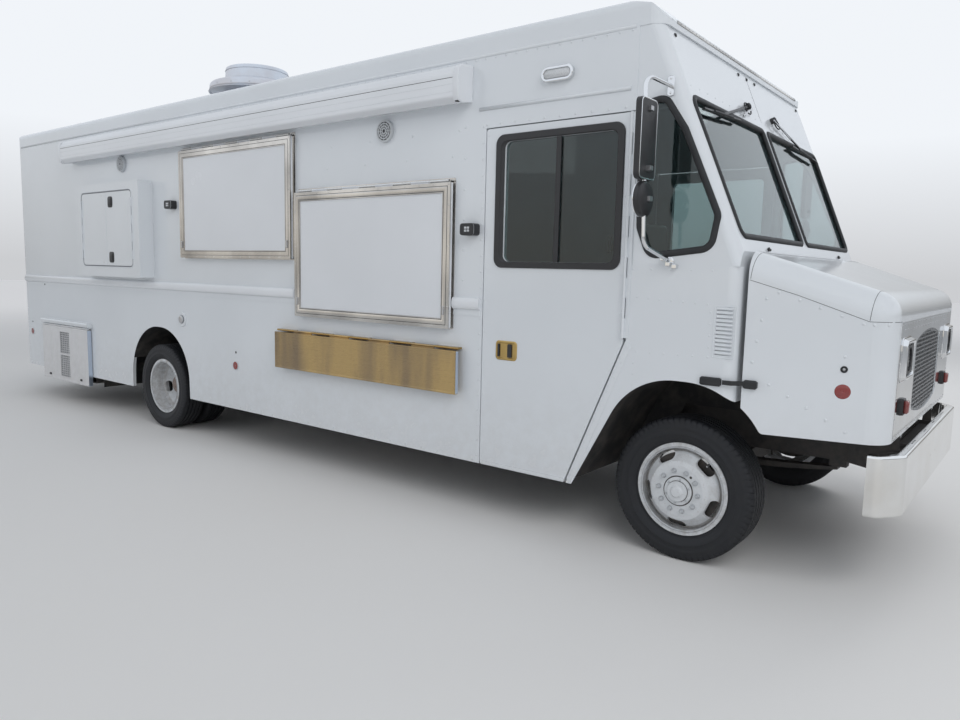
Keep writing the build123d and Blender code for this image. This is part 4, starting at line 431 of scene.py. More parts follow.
# Front gutter: an extruded channel over the windshield panel.
# One row of rivets holds it along the roof's front edge.
GUTTER_X = FRONT_AXLE - 0.166
GUTTER_Z = 2.893
gutter_path = rounded_path(
    [(GUTTER_X - 0.24, -1.2385), (GUTTER_X, -1.2385), (GUTTER_X, 1.2385), (GUTTER_X - 0.24, 1.2385)],
    [0, 0.09, 0.09, 0], 8,
)
gutter_line = np.column_stack((gutter_path, np.full(len(gutter_path), GUTTER_Z)))
gutter_section = [
    (0, -0.012), (-0.016, -0.012), (-0.02, -0.004), (-0.02, 0.012), (-0.016, 0.012), (-0.014, 0.0), (0, 0.0),
]
gutter = bar(gutter_section, gutter_line, (0, 0, 1))
make_piece("front_gutter", gutter, body_enamel, "root", 35)
front_row = row((GUTTER_X + 0.25, -1.14, 2.915), (GUTTER_X + 0.25, 1.14, 2.915), 0.06)
roof_tree = lands("roof")
rivets("gutter_rivets", *landed(roof_tree, front_row, (-1, 0, 0)), 0.006, 0.003)

# Cab glass: two flat raked panes and two quarter windows, held in black rubber with a half-round lip.
# The panes are green-tinted laminated glass.
RAKE = 0.41
RAKE_X = FRONT_AXLE + 0.122
RAKE_Z = 2.146


def rubber_group():
    """Black rubber: slow bloom towards grey, and a fine matt grain."""
    group, given, place = start_group(
        "Aged rubber", Colour=(0.016, 0.017, 0.019), Bloom_Colour=(0.07, 0.07, 0.072), Bloom=0.3,
        Base_Roughness=0.5, Grain=0.2, Grain_Scale=900.0,
    )
    mask = ranged(group, noise(group, place, 9.0, 7.0, 0.6), 0.42, 0.72)
    amount = reckoned(group, "MULTIPLY", mask, given["Bloom"])
    bloomed = blend(group, amount, given["Colour"], given["Bloom Colour"])
    dull = reckoned(group, "MULTIPLY_ADD", mask, 0.15, given["Base Roughness"])
    grain = bump(group, noise(group, place, given["Grain Scale"], 2.0), given["Grain"], 0.0005)
    return end_group(group, bloomed, dull, grain)


rubber = rubber_group()
black_rubber = finish_from("black_rubber", rubber)
black_plastic = finish_from(
    "black_plastic", rubber, Colour=(0.022, 0.022, 0.024), Bloom=0.15, Base_Roughness=0.34, Grain=0.3,
    Grain_Scale=1400.0,
)


def glass_material(name, colour, roughness):
    """Tinted glass whose surface carries a faint film of dust."""
    material, tree, inputs = new_material(name)
    film = noise(tree, on_object(tree), 5.0, 6.0)
    tree.links.new(blend(tree, film, colour, [0.92 * value for value in colour]), inputs["Base Color"])
    tree.links.new(ranged(tree, film, 0.3, 0.8, roughness, roughness + 0.03), inputs["Roughness"])
    inputs["IOR"].default_value = 1.5
    inputs["Transmission Weight"].default_value = 1.0
    return material


tinted_glass = glass_material("tinted_glass", (0.42, 0.52, 0.52), 0.0)
coat_nodes(
    tinted_glass, "cab_glass", "entry_door_glass", "driver_door_glass", "rear_glass_right", "rear_glass_left",
)


def on_rake(points, stand=0.0):
    """Points given by y and z, as places on the raked face or standing off it."""
    points = np.asarray(points, float)
    away = np.array([1, 0, RAKE]) / np.hypot(1, RAKE)
    places = np.column_stack((RAKE_X - (points[:, 1] - RAKE_Z) * RAKE, points[:, 0], points[:, 1]))
    return places + away * stand


def window_rubber(width, height, inner_lip=0.012):
    """Section of a glazing rubber: a rounded lip over the sheet, falling to a thin edge on the glass."""
    lip = half_round(width, height, 6)
    return np.concatenate((
        lip, [(-width / 2, -0.012), (-width / 2 + inner_lip * 0.4, -0.012), (width / 2, -0.003)],
    ))


PANE = [(-1.172, 2.5), (-0.045, 2.5), (-0.045, 1.79), (-1.134, 1.79)]
QUARTER = [
    (-0.27, 2.474), (-0.135, 2.496), (-0.02, 2.325), (0.176, 1.888), (0.15, 1.722), (-0.19, 1.682),
    (-0.252, 1.835),
]
QUARTER_R = [0.02, 0.06, 0.06, 0.06, 0.07, 0.07, 0.06]
rake_out = (1, 0, RAKE)
rubbers = []
for hand in (-1, 1):
    flat = rounded_path([(-hand * y, z) for y, z in PANE], [0.05, 0.03, 0.03, 0.05])
    path = on_rake(flat[::hand])
    rubbers.append(carried(window_rubber(0.034, 0.011), path, rake_out))
    ring = on_side(rounded_path(QUARTER, QUARTER_R), hand, -0.004)
    rubbers.append(carried(window_rubber(0.036, 0.01), ring[::hand], (0, hand, 0)))
make_piece("cab_window_rubbers", rubbers, black_rubber, "root")

# Doors: one sheet-metal leaf each side, hung on a full-length piano hinge at its front edge.
# A black-framed sliding window is clamped in each, and a brass paddle latch is let into the leaf.
WINDOW = (-1.155, -0.398, 1.642, 2.357)


def metal_group():
    """Rolled or drawn metal: a grain stretched along one direction, tarnish in slow patches."""
    group, given, place = start_group(
        "Drawn metal", Colour=(0.75, 0.76, 0.78), Tarnish_Colour=(0.5, 0.5, 0.5), Tarnish=0.25,
        Base_Roughness=0.18, Grain=0.15, Grain_Along=(8.0, 400.0, 400.0), Patch_Along=(3.5, 3.5, 3.5),
    )
    lines = noise(group, times(group, place, given["Grain Along"]), 1.0, 3.0)
    mask = ranged(group, noise(group, times(group, place, given["Patch Along"]), 1.0, 5.0), 0.4, 0.64)
    amount = reckoned(group, "MULTIPLY", mask, given["Tarnish"])
    toned = blend(group, amount, given["Colour"], given["Tarnish Colour"])
    rough = reckoned(group, "MULTIPLY_ADD", lines, given["Grain"], given["Base Roughness"])
    return end_group(group, toned, rough, bump(group, lines, given["Grain"], 0.0003))


drawn_metal = metal_group()
brass = finish_from(
    "brass", drawn_metal, Colour=(0.62, 0.44, 0.17), Tarnish_Colour=(0.3, 0.2, 0.08), Tarnish=0.5,
    Base_Roughness=0.25, Metallic=1.0,
)
steel = finish_from(
    "bright_steel", drawn_metal, Colour=(0.6, 0.6, 0.61), Tarnish_Colour=(0.35, 0.34, 0.33),
    Base_Roughness=0.22, Metallic=1.0,
)
chrome = finish_from(
    "chrome", drawn_metal, Colour=(0.78, 0.79, 0.8), Tarnish_Colour=(0.55, 0.55, 0.56), Tarnish=0.15,
    Base_Roughness=0.04, Grain=0.03, Metallic=1.0,
)


def at_x(x, points):
    """Points given by y and z, as places on the upright plane across the truck at x."""
    return np.column_stack((np.full(len(points), x), points))


def ring_on_side(corners, radii, hand, profile, stand=0.0, steps=6):
    """A profile carried round an outline on one side's skin, with its first number growing outwards."""
    path = on_side(rounded_path(corners, radii, steps), hand, stand)
    return carried(profile, path[::-hand], (0, hand, 0))


def box_corners(x0, x1, z0, z1):
    """Corners of a rectangle, counted round from its low rear one."""
    return [(x0, z0), (x1, z0), (x1, z1), (x0, z1)]


def plate(corners, radii, plane, depth, edge=0.0015, steps=5):
    """A flat plate with softened edges. Its outline shrinks by the edge towards its face, and plane turns
    outline points and a stand-off into places."""
    path = rounded_path(corners, radii, steps)
    middle = path.mean(0)
    inner = middle + (path - middle) * (1 - edge * 2 / np.ptp(path, axis=0).max())
    return stacked([plane(path, 0.0), plane(path, depth - edge), plane(inner, depth)])


def side_plate(hand, corners, radius, stand, depth, edge, steps=5):
    """A plate on one side's skin, from one distance off it."""
    return plate(corners, radius, lambda points, off: on_side(points, hand, stand + off), depth, edge, steps)


def block(low, high, edge=0.002):
    """A small block with one bevel all round, from the corners of its box."""
    low = np.asarray(low, float)
    high = np.asarray(high, float)
    edge = min(edge, (high - low).min() * 0.45)
    corners = np.array([[x, y, z] for z in (0, 1) for x, y in ((0, 0), (1, 0), (1, 1), (0, 1))], float)
    rings = []
    for z, shrink in ((0, edge), (edge, 0), (high[2] - low[2] - edge, 0), (high[2] - low[2], edge)):
        flat = low[:2] + corners[:4, :2] * (high - low)[:2]
        centre = (low + high)[:2] / 2
        flat = centre + (flat - centre) * (1 - 2 * shrink / (high - low)[:2])
        rings.append(np.column_stack((flat, np.full(4, low[2] + z))))
    return stacked(rings)


def side_block(hand, x0, x1, z0, z1, near, far, edge=0.002):
    """A block on one side's skin, between two distances off it, with x counted from the front axle."""
    y0, y1 = sorted((hand * (SIDE + near), hand * (SIDE + far)))
    return block((FRONT_AXLE + x0, y0, z0), (FRONT_AXLE + x1, y1, z1), edge)


FRAME_OUTER = (WINDOW[0] - 0.066, WINDOW[1] + 0.043, WINDOW[2] - 0.038, WINDOW[3] + 0.043)
FRAME_STEP = (WINDOW[0] - 0.023, WINDOW[1], WINDOW[2], WINDOW[3])
frame_loops = (
    # outline, how far it is grown, corner radius, stand-off
    (FRAME_OUTER, 0.0, 0.058, -0.001),
    (FRAME_OUTER, 0.0, 0.058, 0.006),
    (FRAME_OUTER, -0.004, 0.054, 0.01),
    (FRAME_STEP, 0.006, 0.046, 0.01),
    (FRAME_STEP, 0.0005, 0.042, 0.004),
    (WINDOW, 0.0003, 0.04, 0.001),
    (WINDOW, 0.0003, 0.04, -0.016),
    (WINDOW, 0.006, 0.04, -0.016),
)
for hand, door, side_name in ((-1, "entry_door", "right"), (1, "driver_door", "left")):
    layers = []
    for (x0, x1, z0, z1), grow, radius, stand in frame_loops:
        layers.append(on_side(
            rounded_path(box_corners(x0 - grow, x1 + grow, z0 - grow, z1 + grow), radius), hand, stand,
        ))
    band = outward(
        np.concatenate(layers), grid_faces(len(layers), len(layers[0]), close_rows=True, close_columns=True),
    )
    make_piece(f"door_window_frame_{side_name}", band, black_plastic, door, 30)
    x, z0, z1 = -0.778, WINDOW[2] - 0.02, WINDOW[3] + 0.02
    bars = [
        side_block(hand, x - 0.016, x + 0.016, z0, z1, -0.012, -0.002),
        side_block(hand, -0.448, -0.428, 1.7, 1.79, -0.028, -0.0225),
    ]
    make_piece(f"door_window_bars_{side_name}", bars, black_plastic, door, 35)

    # Rivets and edge strips of the leaf and of the post in front of it
    leaf_rivets = on_side(rows((-0.342, 1.26, -0.342, 2.42, 0.11), (-1.282, 0.4, -1.282, 2.4, 0.2)), hand)
    leaf_rivets[:11, 1] = hand * (SIDE + 0.003)
    rivets(f"door_rivets_{side_name}", leaf_rivets, (0, hand, 0), 0.0055, 0.0022, door)
    sill = bar(
        mirrored((0.01, -0.0005), (0.01, 0.003)), on_side([(-1.29, 0.362), (-0.668, 0.362)], hand),
        (0, hand, 0),
    )
    make_piece(f"door_sill_strip_{side_name}", sill, body_enamel, door, 35)
    post = [(-0.3005, 1.213), (-0.642, 0.374)]
    strip_section = mirrored((0.021, -0.0005), (0.021, 0.0014), (0.0195, 0.002))
    edge_strip = bar(strip_section, on_side([(x + 0.018, z - 0.006) for x, z in post], hand), (0, hand, 0))
    make_piece(f"post_strip_{side_name}", edge_strip, body_enamel, "root", 35)
    post_rows = rows(
        (post[0][0] + 0.016, post[0][1] - 0.03, post[1][0] + 0.02, post[1][1] + 0.02, 0.095),
        (-0.296, 1.26, -0.296, 2.42, 0.11),
    )
    rivets(f"post_rivets_{side_name}", on_side(post_rows, hand, 0.002), (0, hand, 0), 0.0055, 0.0022)

    # Paddle latch: a brass tray with a rolled rim, the paddle hinged in it
    tray = box_corners(-1.18, -1.037, 1.045, 1.147)
    rim = ring_on_side(
        tray, 0.014, hand,
        [(0.009, -0.001), (0.009, 0.002), (0.005, 0.005), (-0.003, 0.005), (-0.006, 0.002), (-0.006, -0.001)],
    )
    floor_of_tray = side_plate(hand, tray, 0.012, 0.0, 0.0012, 0.0004)
    make_piece(f"latch_tray_{side_name}", [rim, floor_of_tray], brass, door, 35)
    y0, y1 = sorted((hand * (SIDE + 0.001), hand * (SIDE + 0.008)))
    paddle = side_block(hand, -1.096, -1.066, 1.054, 1.138, 0.001, 0.008, 0.003)
    well = block((FRONT_AXLE - 1.17, y0, 1.056), (FRONT_AXLE - 1.158, y0 + (y1 - y0) * 0.5, 1.136), 0.002)
    make_piece(f"latch_paddle_{side_name}", [paddle, well], black_plastic, door, 35)

# Serving windows: polished aluminium extrusions, mitred at the corners and riveted to the skin.
# Each flap is a white panel in the same bright section, hung on a rod along its top edge. The rear one's
# section is flatter, because the flap opens right under the awning.
# The aluminium's warm tint is a painted reflection of a sandy ground.
polished_aluminium = finish_from(
    "polished_aluminium", drawn_metal, Colour=(0.74, 0.715, 0.68), Tarnish_Colour=(0.36, 0.345, 0.33),
    Tarnish=0.8, Base_Roughness=0.12, Grain=0.1, Patch_Along=(1.6, 1.6, 1.2), Metallic=1.0,
)
# A near-black finish of painted shade, laid in grooves, seams, slots and dots where shade falls.
painted_shade = finish_from("shadow_groove", rubber, Colour=(0.045, 0.047, 0.05), Bloom=0.1)
flap_white = finish_from(
    "flap_white", enamel, Colour=(0.8, 0.82, 0.85), Gloss_Roughness=0.22, Dust_Amount=0.0, Coat_Weight=0.2,
)
coat_nodes(polished_aluminium, "serving_frames")
coat_nodes(flap_white, "serving_flap_rear", "serving_flap_front")
SERVING = {"rear": (-4.718, -3.145, 1.632, 2.597), "front": (-3.108, -1.539, 1.199, 2.167)}
for window_name, (x0, x1, z0, z1) in SERVING.items():
    body = f"serving_flap_{window_name}"
    face = 0.0495
    low = (x0 + 0.006, x1 - 0.006, z0 + 0.006, z1 - 0.032)
    flange = [
        (0.0008, -0.01), (0.0008, 0.001), (-0.0006, 0.0018), (-0.0208, 0.0018), (-0.0216, 0.001),
        (-0.0216, -0.003), (-0.004, -0.003), (-0.004, -0.01),
    ]
    raised = [
        (-0.025, -0.002), (-0.025, 0.0026), (-0.0285, 0.0042), (-0.04, 0.0038), (-0.048, 0.0028),
        (-0.055, 0.0012), (-0.0555, -0.001), (-0.059, -0.001), (-0.0595, 0.002), (-0.063, 0.002),
        (-0.066, -0.0055), (-0.05, -0.006), (-0.025, -0.004),
    ]
    tallest = 0.0016 if window_name == "rear" else 0.0042
    rings = []
    for section in (flange, raised):
        section = [(across_rail, min(height, tallest)) for across_rail, height in section]
        rings.append(ring_on_side(box_corners(*low), 0.0, -1, section, face - 0.0005))
    make_piece(f"flap_border_{window_name}", rings, polished_aluminium, body, 20)
    # Thin dark rings of painted shade in the grooves of the border.
    lines = []
    for a, b in ((-0.0212, -0.0254), (-0.0553, -0.0593)):
        lines.append(ring_on_side(
            box_corners(*low), 0.0, -1, [(a, -0.002), (a, 0.0007), (b, 0.0007), (b, -0.002)], face - 0.0005,
        ))
    make_piece(f"flap_lines_{window_name}", lines, painted_shade, body, 0)
    a0, a1, b0, b1 = low[0] + 0.011, low[1] - 0.011, low[2] + 0.011, low[3] - 0.011
    flange_rows = rows(
        (a0, b1, a1, b1, 0.13), (a0, b0, a1, b0, 0.13), (a0, b0 + 0.13, a0, b1 - 0.13, 0.13),
        (a1, b0 + 0.13, a1, b1 - 0.13, 0.13),
    )
    flange_rivets = heads(on_side(flange_rows, -1, face + 0.0013), KERB, 0.006, 0.003)
    make_piece(f"flange_rivets_{window_name}", flange_rivets, polished_aluminium, body)
    rod_end = (FRONT_AXLE + x1 - 0.026, -SIDE - 0.0378, z1 - 0.018)
    make_piece(
        f"flap_rod_end_{window_name}", heads([rod_end], KERB, 0.006, 0.0025, 12), black_plastic, body,
    )
    latches = []
    seat = face + 0.0006
    for x in (x0 + 0.044, x1 - 0.044):
        latches.append(side_block(-1, x - 0.007, x + 0.007, z0 + 0.092, z0 + 0.15, seat, seat + 0.01, 0.003))
        latches.append(side_block(
            -1, x - 0.011, x + 0.011, z0 + 0.112, z0 + 0.13, seat, seat + 0.004, 0.0015,
        ))
    make_piece(f"flap_latches_{window_name}", latches, steel, body, 35)

# Counter shelf: folded stainless sheet with hemmed edges, brushed along its length.
# Its warm brown tone is a painted reflection of a sandy ground, darker in long patches.
shelf_steel = finish_from(
    "brushed_stainless", drawn_metal, Colour=(0.56, 0.4, 0.19), Tarnish_Colour=(0.29, 0.225, 0.155),
    Tarnish=0.95, Base_Roughness=0.2, Grain=0.16, Grain_Along=(4.0, 300.0, 500.0),
    Patch_Along=(4.6, 0.5, 0.7), Metallic=1.0,
)
coat_nodes(shelf_steel, "counter_shelf")
SHELF = (-3.326, -1.46, 0.786, 1.068)
hems = ring_on_side(
    box_corners(*SHELF), 0.0, -1,
    [(0.0008, -0.004), (0.0008, 0.001), (-0.01, 0.0016), (-0.012, 0.0004), (-0.012, -0.001)], 0.0698,
)
make_piece("shelf_hems", hems, shelf_steel, "counter_shelf", 25)

# Hinge leaves: extruded and folded pieces in the metal or the paint of what they carry, so their finish
# changes by place: aluminium over the serving windows, on the shelf the warm brown of the shelf's painted
# ground reflection, enamel elsewhere
hinge_finish = finish_from("hinge_leaves", enamel, Colour=BODY_WHITE)
hinge_tree = hinge_finish.node_tree
hinge_inputs = hinge_tree.nodes["Principled BSDF"].inputs
painted = next(node for node in hinge_tree.nodes if node.type == "GROUP").outputs["Colour"]
at = add_node(hinge_tree, "SeparateXYZ", (("Vector", on_object(hinge_tree)),)).outputs


def place_mask(tree, *tests):
    """A mask that is one where every test holds. Each compares a coordinate with a bound."""
    masks = [reckoned(tree, kind + "_THAN", coordinate, bound) for coordinate, kind, bound in tests]
    total = masks[0]
    for mask in masks[1:]:
        total = reckoned(tree, "MULTIPLY", total, mask)
    return total


# The warm mask gives the shelf's hinge the same brown as the shelf's painted reflection of the ground.
warm = place_mask(
    hinge_tree, (at["Z"], "LESS", 1.15), (at["X"], "GREATER", 0.0), (at["X"], "LESS", 2.35),
    (at["Y"], "LESS", -1.243),
)
bright = place_mask(
    hinge_tree, (at["Z"], "GREATER", 2.1), (at["X"], "GREATER", -1.1), (at["X"], "LESS", 2.25),
    (at["Y"], "LESS", -1.25),
)
golden = blend(hinge_tree, warm, painted, (0.4, 0.27, 0.11))
hinge_tree.links.new(blend(hinge_tree, bright, golden, (0.74, 0.74, 0.73)), hinge_inputs["Base Color"])
hinge_tree.links.new(reckoned(hinge_tree, "ADD", warm, bright), hinge_inputs["Metallic"])
coat_nodes(hinge_finish, "fixed_hinges")

# Awning: a closed cassette screwed along the top of the kerb side, an extrusion with cast end caps.
# Its lead rail closes the lower edge.
AWNING = (-6.87, -1.42, 2.6, 2.83)
awning_white = finish_from(
    "awning_white", enamel, Colour=(0.82, 0.84, 0.87), Gloss_Roughness=0.2, Dust_Amount=0.0, Peel=0.05,
    Coat_Weight=0.3,
)
coat_nodes(awning_white, "awning_cassette")

# Equipment cabinet: a riveted sheet box on the kerb side, with two doors under one bright gasket line.
# Each door has a black compression latch near the meeting edge.
coat_nodes(body_enamel, "cabinet_door_front", "cabinet_door_rear")
CABINET_FACE = 0.14
latches = []
for z in (1.63, 2.16):
    outline_of_latch = rounded_path(box_corners(-5.835, -5.749, z - 0.052, z + 0.052), 0.024)
    for inset, depth in ((0.0, 0.006), (0.01, 0.0095)):
        middle = outline_of_latch.mean(0)
        loop = middle + (outline_of_latch - middle) * (1 - inset / 0.03)
        inner = middle + (loop - middle) * 0.94
        latches.append(stacked(
            [
                on_side(loop, -1, CABINET_FACE), on_side(loop, -1, CABINET_FACE + depth - 0.001),
                on_side(inner, -1, CABINET_FACE + depth),
            ]
        ))
make_piece("cabinet_latches", latches, black_plastic, "cabinet_door_front", 35)
dots = on_side([(-5.972, 2.226), (-5.959, 1.58)], -1, CABINET_FACE)
make_piece("cabinet_lock_pins", heads(dots, KERB, 0.008, 0.003), steel, "cabinet_door_rear")
gasket = ring_on_side(
    box_corners(-6.39, -5.39, 1.545, 2.26), 0.045, -1,
    [
        (0.0062, -0.0005), (0.0058, 0.0012), (0.0004, 0.0012), (-0.003, 0.0002), (-0.0034, -0.004),
        (-0.0004, -0.004),
    ], CABINET_FACE,
)
grey_gasket = finish_from("grey_gasket", rubber, Colour=(0.22, 0.23, 0.25), Bloom=0.0)
make_piece("cabinet_gasket", gasket, grey_gasket, "root")
bead = ring_on_side(
    box_corners(-6.39, -5.39, 1.545, 2.26), 0.045, -1,
    [
        (0.0072, -0.0005), (0.0078, 0.0022), (0.01, 0.0034), (0.0135, 0.003), (0.0158, 0.0014),
        (0.016, -0.0005),
    ], CABINET_FACE,
)
make_piece("cabinet_bead", bead, body_enamel, "root")
astragal = side_block(-1, -5.8955, -5.8835, 1.552, 2.253, CABINET_FACE - 0.0002, CABINET_FACE + 0.002, 0.0008)
make_piece("cabinet_astragal", astragal, body_enamel, "cabinet_door_front", 0)
edge_rows = rows((-6.515, 1.47, -6.515, 2.32, 0.12), (-5.275, 1.47, -5.275, 2.32, 0.12))
rivets("cabinet_rivets", on_side(edge_rows, -1, CABINET_FACE), KERB, 0.0045, 0.0018)

# Generator compartment: a steel box under the floor, closed by a top-hung door of folded sheet.
# Woven mesh covers its air opening, and two small latches hold its foot.
door_satin = finish_from(
    "door_satin", enamel, Colour=(0.76, 0.76, 0.77), Gloss_Roughness=0.3, Dust_Top=1.2, Dust_Amount=0.35,
)
coat_nodes(door_satin, "generator_door")
VENT = (-7.69, -6.588, 0.25, 0.852)
VENT_FACE = 0.047
ridges = []
edge_fold = [
    (0.0008, -0.02), (0.0008, 0.001), (-0.003, 0.0026), (-0.012, 0.0026), (-0.014, 0.0004), (-0.014, -0.002),
]
ridges.append(ring_on_side(box_corners(*VENT), 0.004, -1, edge_fold, VENT_FACE))
mesh_frame = [(0.012, -0.001), (0.012, 0.0015), (0.01, 0.0024), (-0.002, 0.0024), (-0.003, -0.001)]
ridges.append(ring_on_side(box_corners(-7.25, -7.02, 0.3, 0.8), 0.004, -1, mesh_frame, VENT_FACE))
for x in (-7.47, -6.83):
    ridges.append(bar(
        mirrored((0.006, -0.001), (0.004, 0.0022)), on_side([(x, 0.268), (x, 0.836)], -1, VENT_FACE), KERB,
    ))
middle_bar = on_side([(-7.25, 0.548), (-7.02, 0.548)], -1, VENT_FACE)
ridges.append(bar(mirrored((0.01, -0.004), (0.009, 0.001)), middle_bar, KERB))
make_piece("generator_door_folds", ridges, door_satin, "generator_door", 30)
rail = bar(
    [(0.012, -0.05), (0.012, 0.004), (0.008, 0.008), (-0.02, 0.013), (-0.032, 0.006), (-0.032, -0.05)],
    on_side([(-7.71, 0.893), (-6.57, 0.893)], -1, VENT_FACE), KERB,
)
make_piece("generator_drip_rail", rail, body_enamel, "root", 35)
bend = np.radians(np.linspace(-85, 12, 9))
sleeve = np.concatenate([
    np.stack((-np.cos(t) * r, np.sin(t) * r), -1) for t, r in ((bend, 0.0115), (bend[::-1], 0.0092))
])
sleeve = stacked([at_x(FRONT_AXLE + x, sleeve + (-1.275, 0.866)) for x in VENT[:2]])
make_piece("generator_hinge_sleeve", sleeve, door_satin, "generator_door", 35)
# The side faces of the generator door and of the shelf's end are tinted blue as a painted reflection of the
# sky.
sky_reflection_aluminium = finish_from(
    "sky_reflection_aluminium", drawn_metal, Colour=(0.62, 0.7, 0.82), Tarnish_Colour=(0.5, 0.52, 0.56),
    Base_Roughness=0.25, Metallic=0.9,
)
side_sheet = side_block(
    -1, VENT[1] - 0.0004, VENT[1] + 0.0024, VENT[2] + 0.002, VENT[3] - 0.002, 0.006, 0.0476, 0.0008,
)
make_piece("generator_door_side", side_sheet, sky_reflection_aluminium, "generator_door", 0)
# The shelf's end takes the same blue of painted sky reflection.
shelf_end = side_block(
    -1, SHELF[1] - 0.0006, SHELF[1] + 0.0008, SHELF[2] + 0.003, SHELF[3] - 0.003, 0.0405, 0.0655, 0.0005,
)
make_piece("shelf_end", shelf_end, sky_reflection_aluminium, "counter_shelf", 0)
small_latches = [
    side_block(-1, x - 0.018, x + 0.018, 0.288, 0.312, VENT_FACE, VENT_FACE + 0.008, 0.003)
    for x in (-7.52, -6.76)
]
make_piece("generator_latches", small_latches, black_plastic, "generator_door", 35)


def woven_mesh(x0, x1, z0, z1, pitch, wire, hand, stand, wave=0.3):
    """A woven wire screen: each wire's line rises and falls as a cosine across its neighbours, one way on
    even wires and the other way on odd ones, and is drawn as a flat four-sided band."""
    parts = []
    for level, (a0, a1, b0, b1, flip) in enumerate(((x0, x1, z0, z1, False), (z0, z1, x0, x1, True))):
        along = np.arange(a0, a1 + pitch / 4, pitch / 2)
        lines = np.arange(b0 + pitch / 2, b1, pitch)
        sign = np.where(np.arange(len(lines)) % 2, 1, -1)[:, None] * (1 if level else -1)
        lift = sign * np.cos(np.pi * (along - a0) / pitch - np.pi / 2)[None] * wire * wave
        ring = np.array([(-1, 0), (0, 1), (1, 0), (0, -1)]) * wire / 2
        a = np.broadcast_to(along[None, :, None], (len(lines), len(along), 4))
        b = lines[:, None, None] + ring[None, None, :, 0]
        b = np.broadcast_to(b, a.shape)
        h = lift[:, :, None] + ring[None, None, :, 1]
        flat = np.stack((b, a) if flip else (a, b), -1).reshape(-1, 2)
        points = np.column_stack((FRONT_AXLE + flat[:, 0], hand * (SIDE + stand + h.reshape(-1)), flat[:, 1]))
        one = grid_faces(len(along), 4, close_columns=True)
        faces = (np.arange(len(lines))[:, None, None] * len(along) * 4 + one[None]).reshape(-1, 4)
        parts.append((points, faces))
    return joined(parts)


screen_steel = finish_from(
    "screen_wire", drawn_metal, Colour=(0.52, 0.53, 0.55), Tarnish_Colour=(0.3, 0.3, 0.3), Base_Roughness=0.4,
    Metallic=0.8,
)
for part_name, z0, z1 in (("lower", 0.302, 0.54), ("upper", 0.556, 0.798)):
    screen = woven_mesh(-7.248, -7.022, z0, z1, 0.008, 0.0022, -1, VENT_FACE - 0.006)
    make_piece(f"generator_screen_{part_name}", screen, screen_steel, "generator_door")

# Belt rail: a rounded rubbing strip snapped over a hollow bulb section that is riveted to the posts.
# Its ends are rounded off, and a flat plate under it covers the joint of the side sheets.
RAIL_RUNS = ((-1, -8.18, -3.163, 1, 1), (-1, -1.54, -1.3205, 0, 0), (1, -8.18, -1.3205, 1, 0))
RAIL_HALF = 0.039
ROUNDNESS = 2.6
offset = np.cos(np.linspace(0, np.pi, 17)) * RAIL_HALF
bulge = 0.025 * (1 - np.abs(offset / RAIL_HALF) ** ROUNDNESS) ** (1 / ROUNDNESS)
taper = np.cos(np.linspace(0, np.pi / 2, 6)) * 0.97 + 0.03
push = np.sin(np.linspace(0, np.pi / 2, 6)) * 0.014
rails = []
for hand, x0, x1, round_rear, round_front in RAIL_RUNS:
    places = [(x0 - reach, size) for reach, size in zip(push[:0:-1], taper[:0:-1])] if round_rear else []
    places += [(x, 1.0) for x in (x0, x1)]
    places += [(x1 + reach, size) for reach, size in zip(push[1:], taper[1:])] if round_front else []
    layers = [
        np.column_stack((
            np.full(len(offset), FRONT_AXLE + x), hand * (SIDE - 0.0004 + bulge * size),
            1.3735 + offset * size,
        ))
        for x, size in places
    ]
    rails.append(stacked(layers))
make_piece("belt_rail_covers", rails, awning_white, "root", 40)

# Small fittings on the kerb side: two round speakers, two scene lamps, a power inlet, a marker lamp,
# two red reflectors and their screws, each screwed to the skin.
fitting_grey = finish_from(
    "fitting_grey", enamel, Colour=(0.62, 0.64, 0.66), Gloss_Roughness=0.35, Dust_Amount=0.0,
)
coat_nodes(fitting_grey, "body_fittings")


def lens_material(name, colour):
    """Moulded lens: a clear coat over a coloured body, dimpled by a fine pattern of cells."""
    material, tree, inputs = new_material(name)
    cells = add_node(tree, "TexVoronoi", (("Vector", on_object(tree)), ("Scale", 260.0))).outputs["Distance"]
    tree.links.new(blend(tree, cells, colour, [0.55 * value for value in colour]), inputs["Base Color"])
    tree.links.new(bump(tree, cells, 0.35, 0.0006), inputs["Normal"])
    inputs["Roughness"].default_value = 0.15
    inputs["Coat Weight"].default_value = 0.8
    return material


red_lens = lens_material("red_lens", (0.5, 0.035, 0.03))
brick_lens = lens_material("brick_lens", (0.34, 0.04, 0.036))
amber_lens = lens_material("amber_lens", (0.62, 0.16, 0.03))
clear_lens = lens_material("clear_lens", (0.8, 0.82, 0.84))


# Radius that closes a turned section close to its axis
CORE = 0.0001


def turned(profile, centre, axis, sides=32):
    """A closed profile turned round an axis: its first number is the radius, its second the height."""
    profile = np.asarray(profile, float)
    axis = unit(np.asarray(axis, float)[None])
    side, up = across(axis)
    turn = np.arange(sides) * 2 * np.pi / sides
    spoke = np.cos(turn)[:, None] * side + np.sin(turn)[:, None] * up
    points = np.asarray(centre) + profile[None, :, :1] * spoke[:, None] + profile[None, :, 1:] * axis[0]
    return outward(points, grid_faces(sides, len(profile), close_rows=True, close_columns=True))


def dome(radius, height, centre, axis, sides=32, base=-0.001, steps=6):
    """A solid dome: an ellipse's quarter from its rim almost to its axis, closed underneath, turned round."""
    turn = np.linspace(0, np.pi / 2, steps + 1)
    curve = np.stack((np.maximum(np.cos(turn) * radius, CORE), np.sin(turn) * height), -1)
    return turned([(CORE, base), (radius, base), *curve], centre, axis, sides)


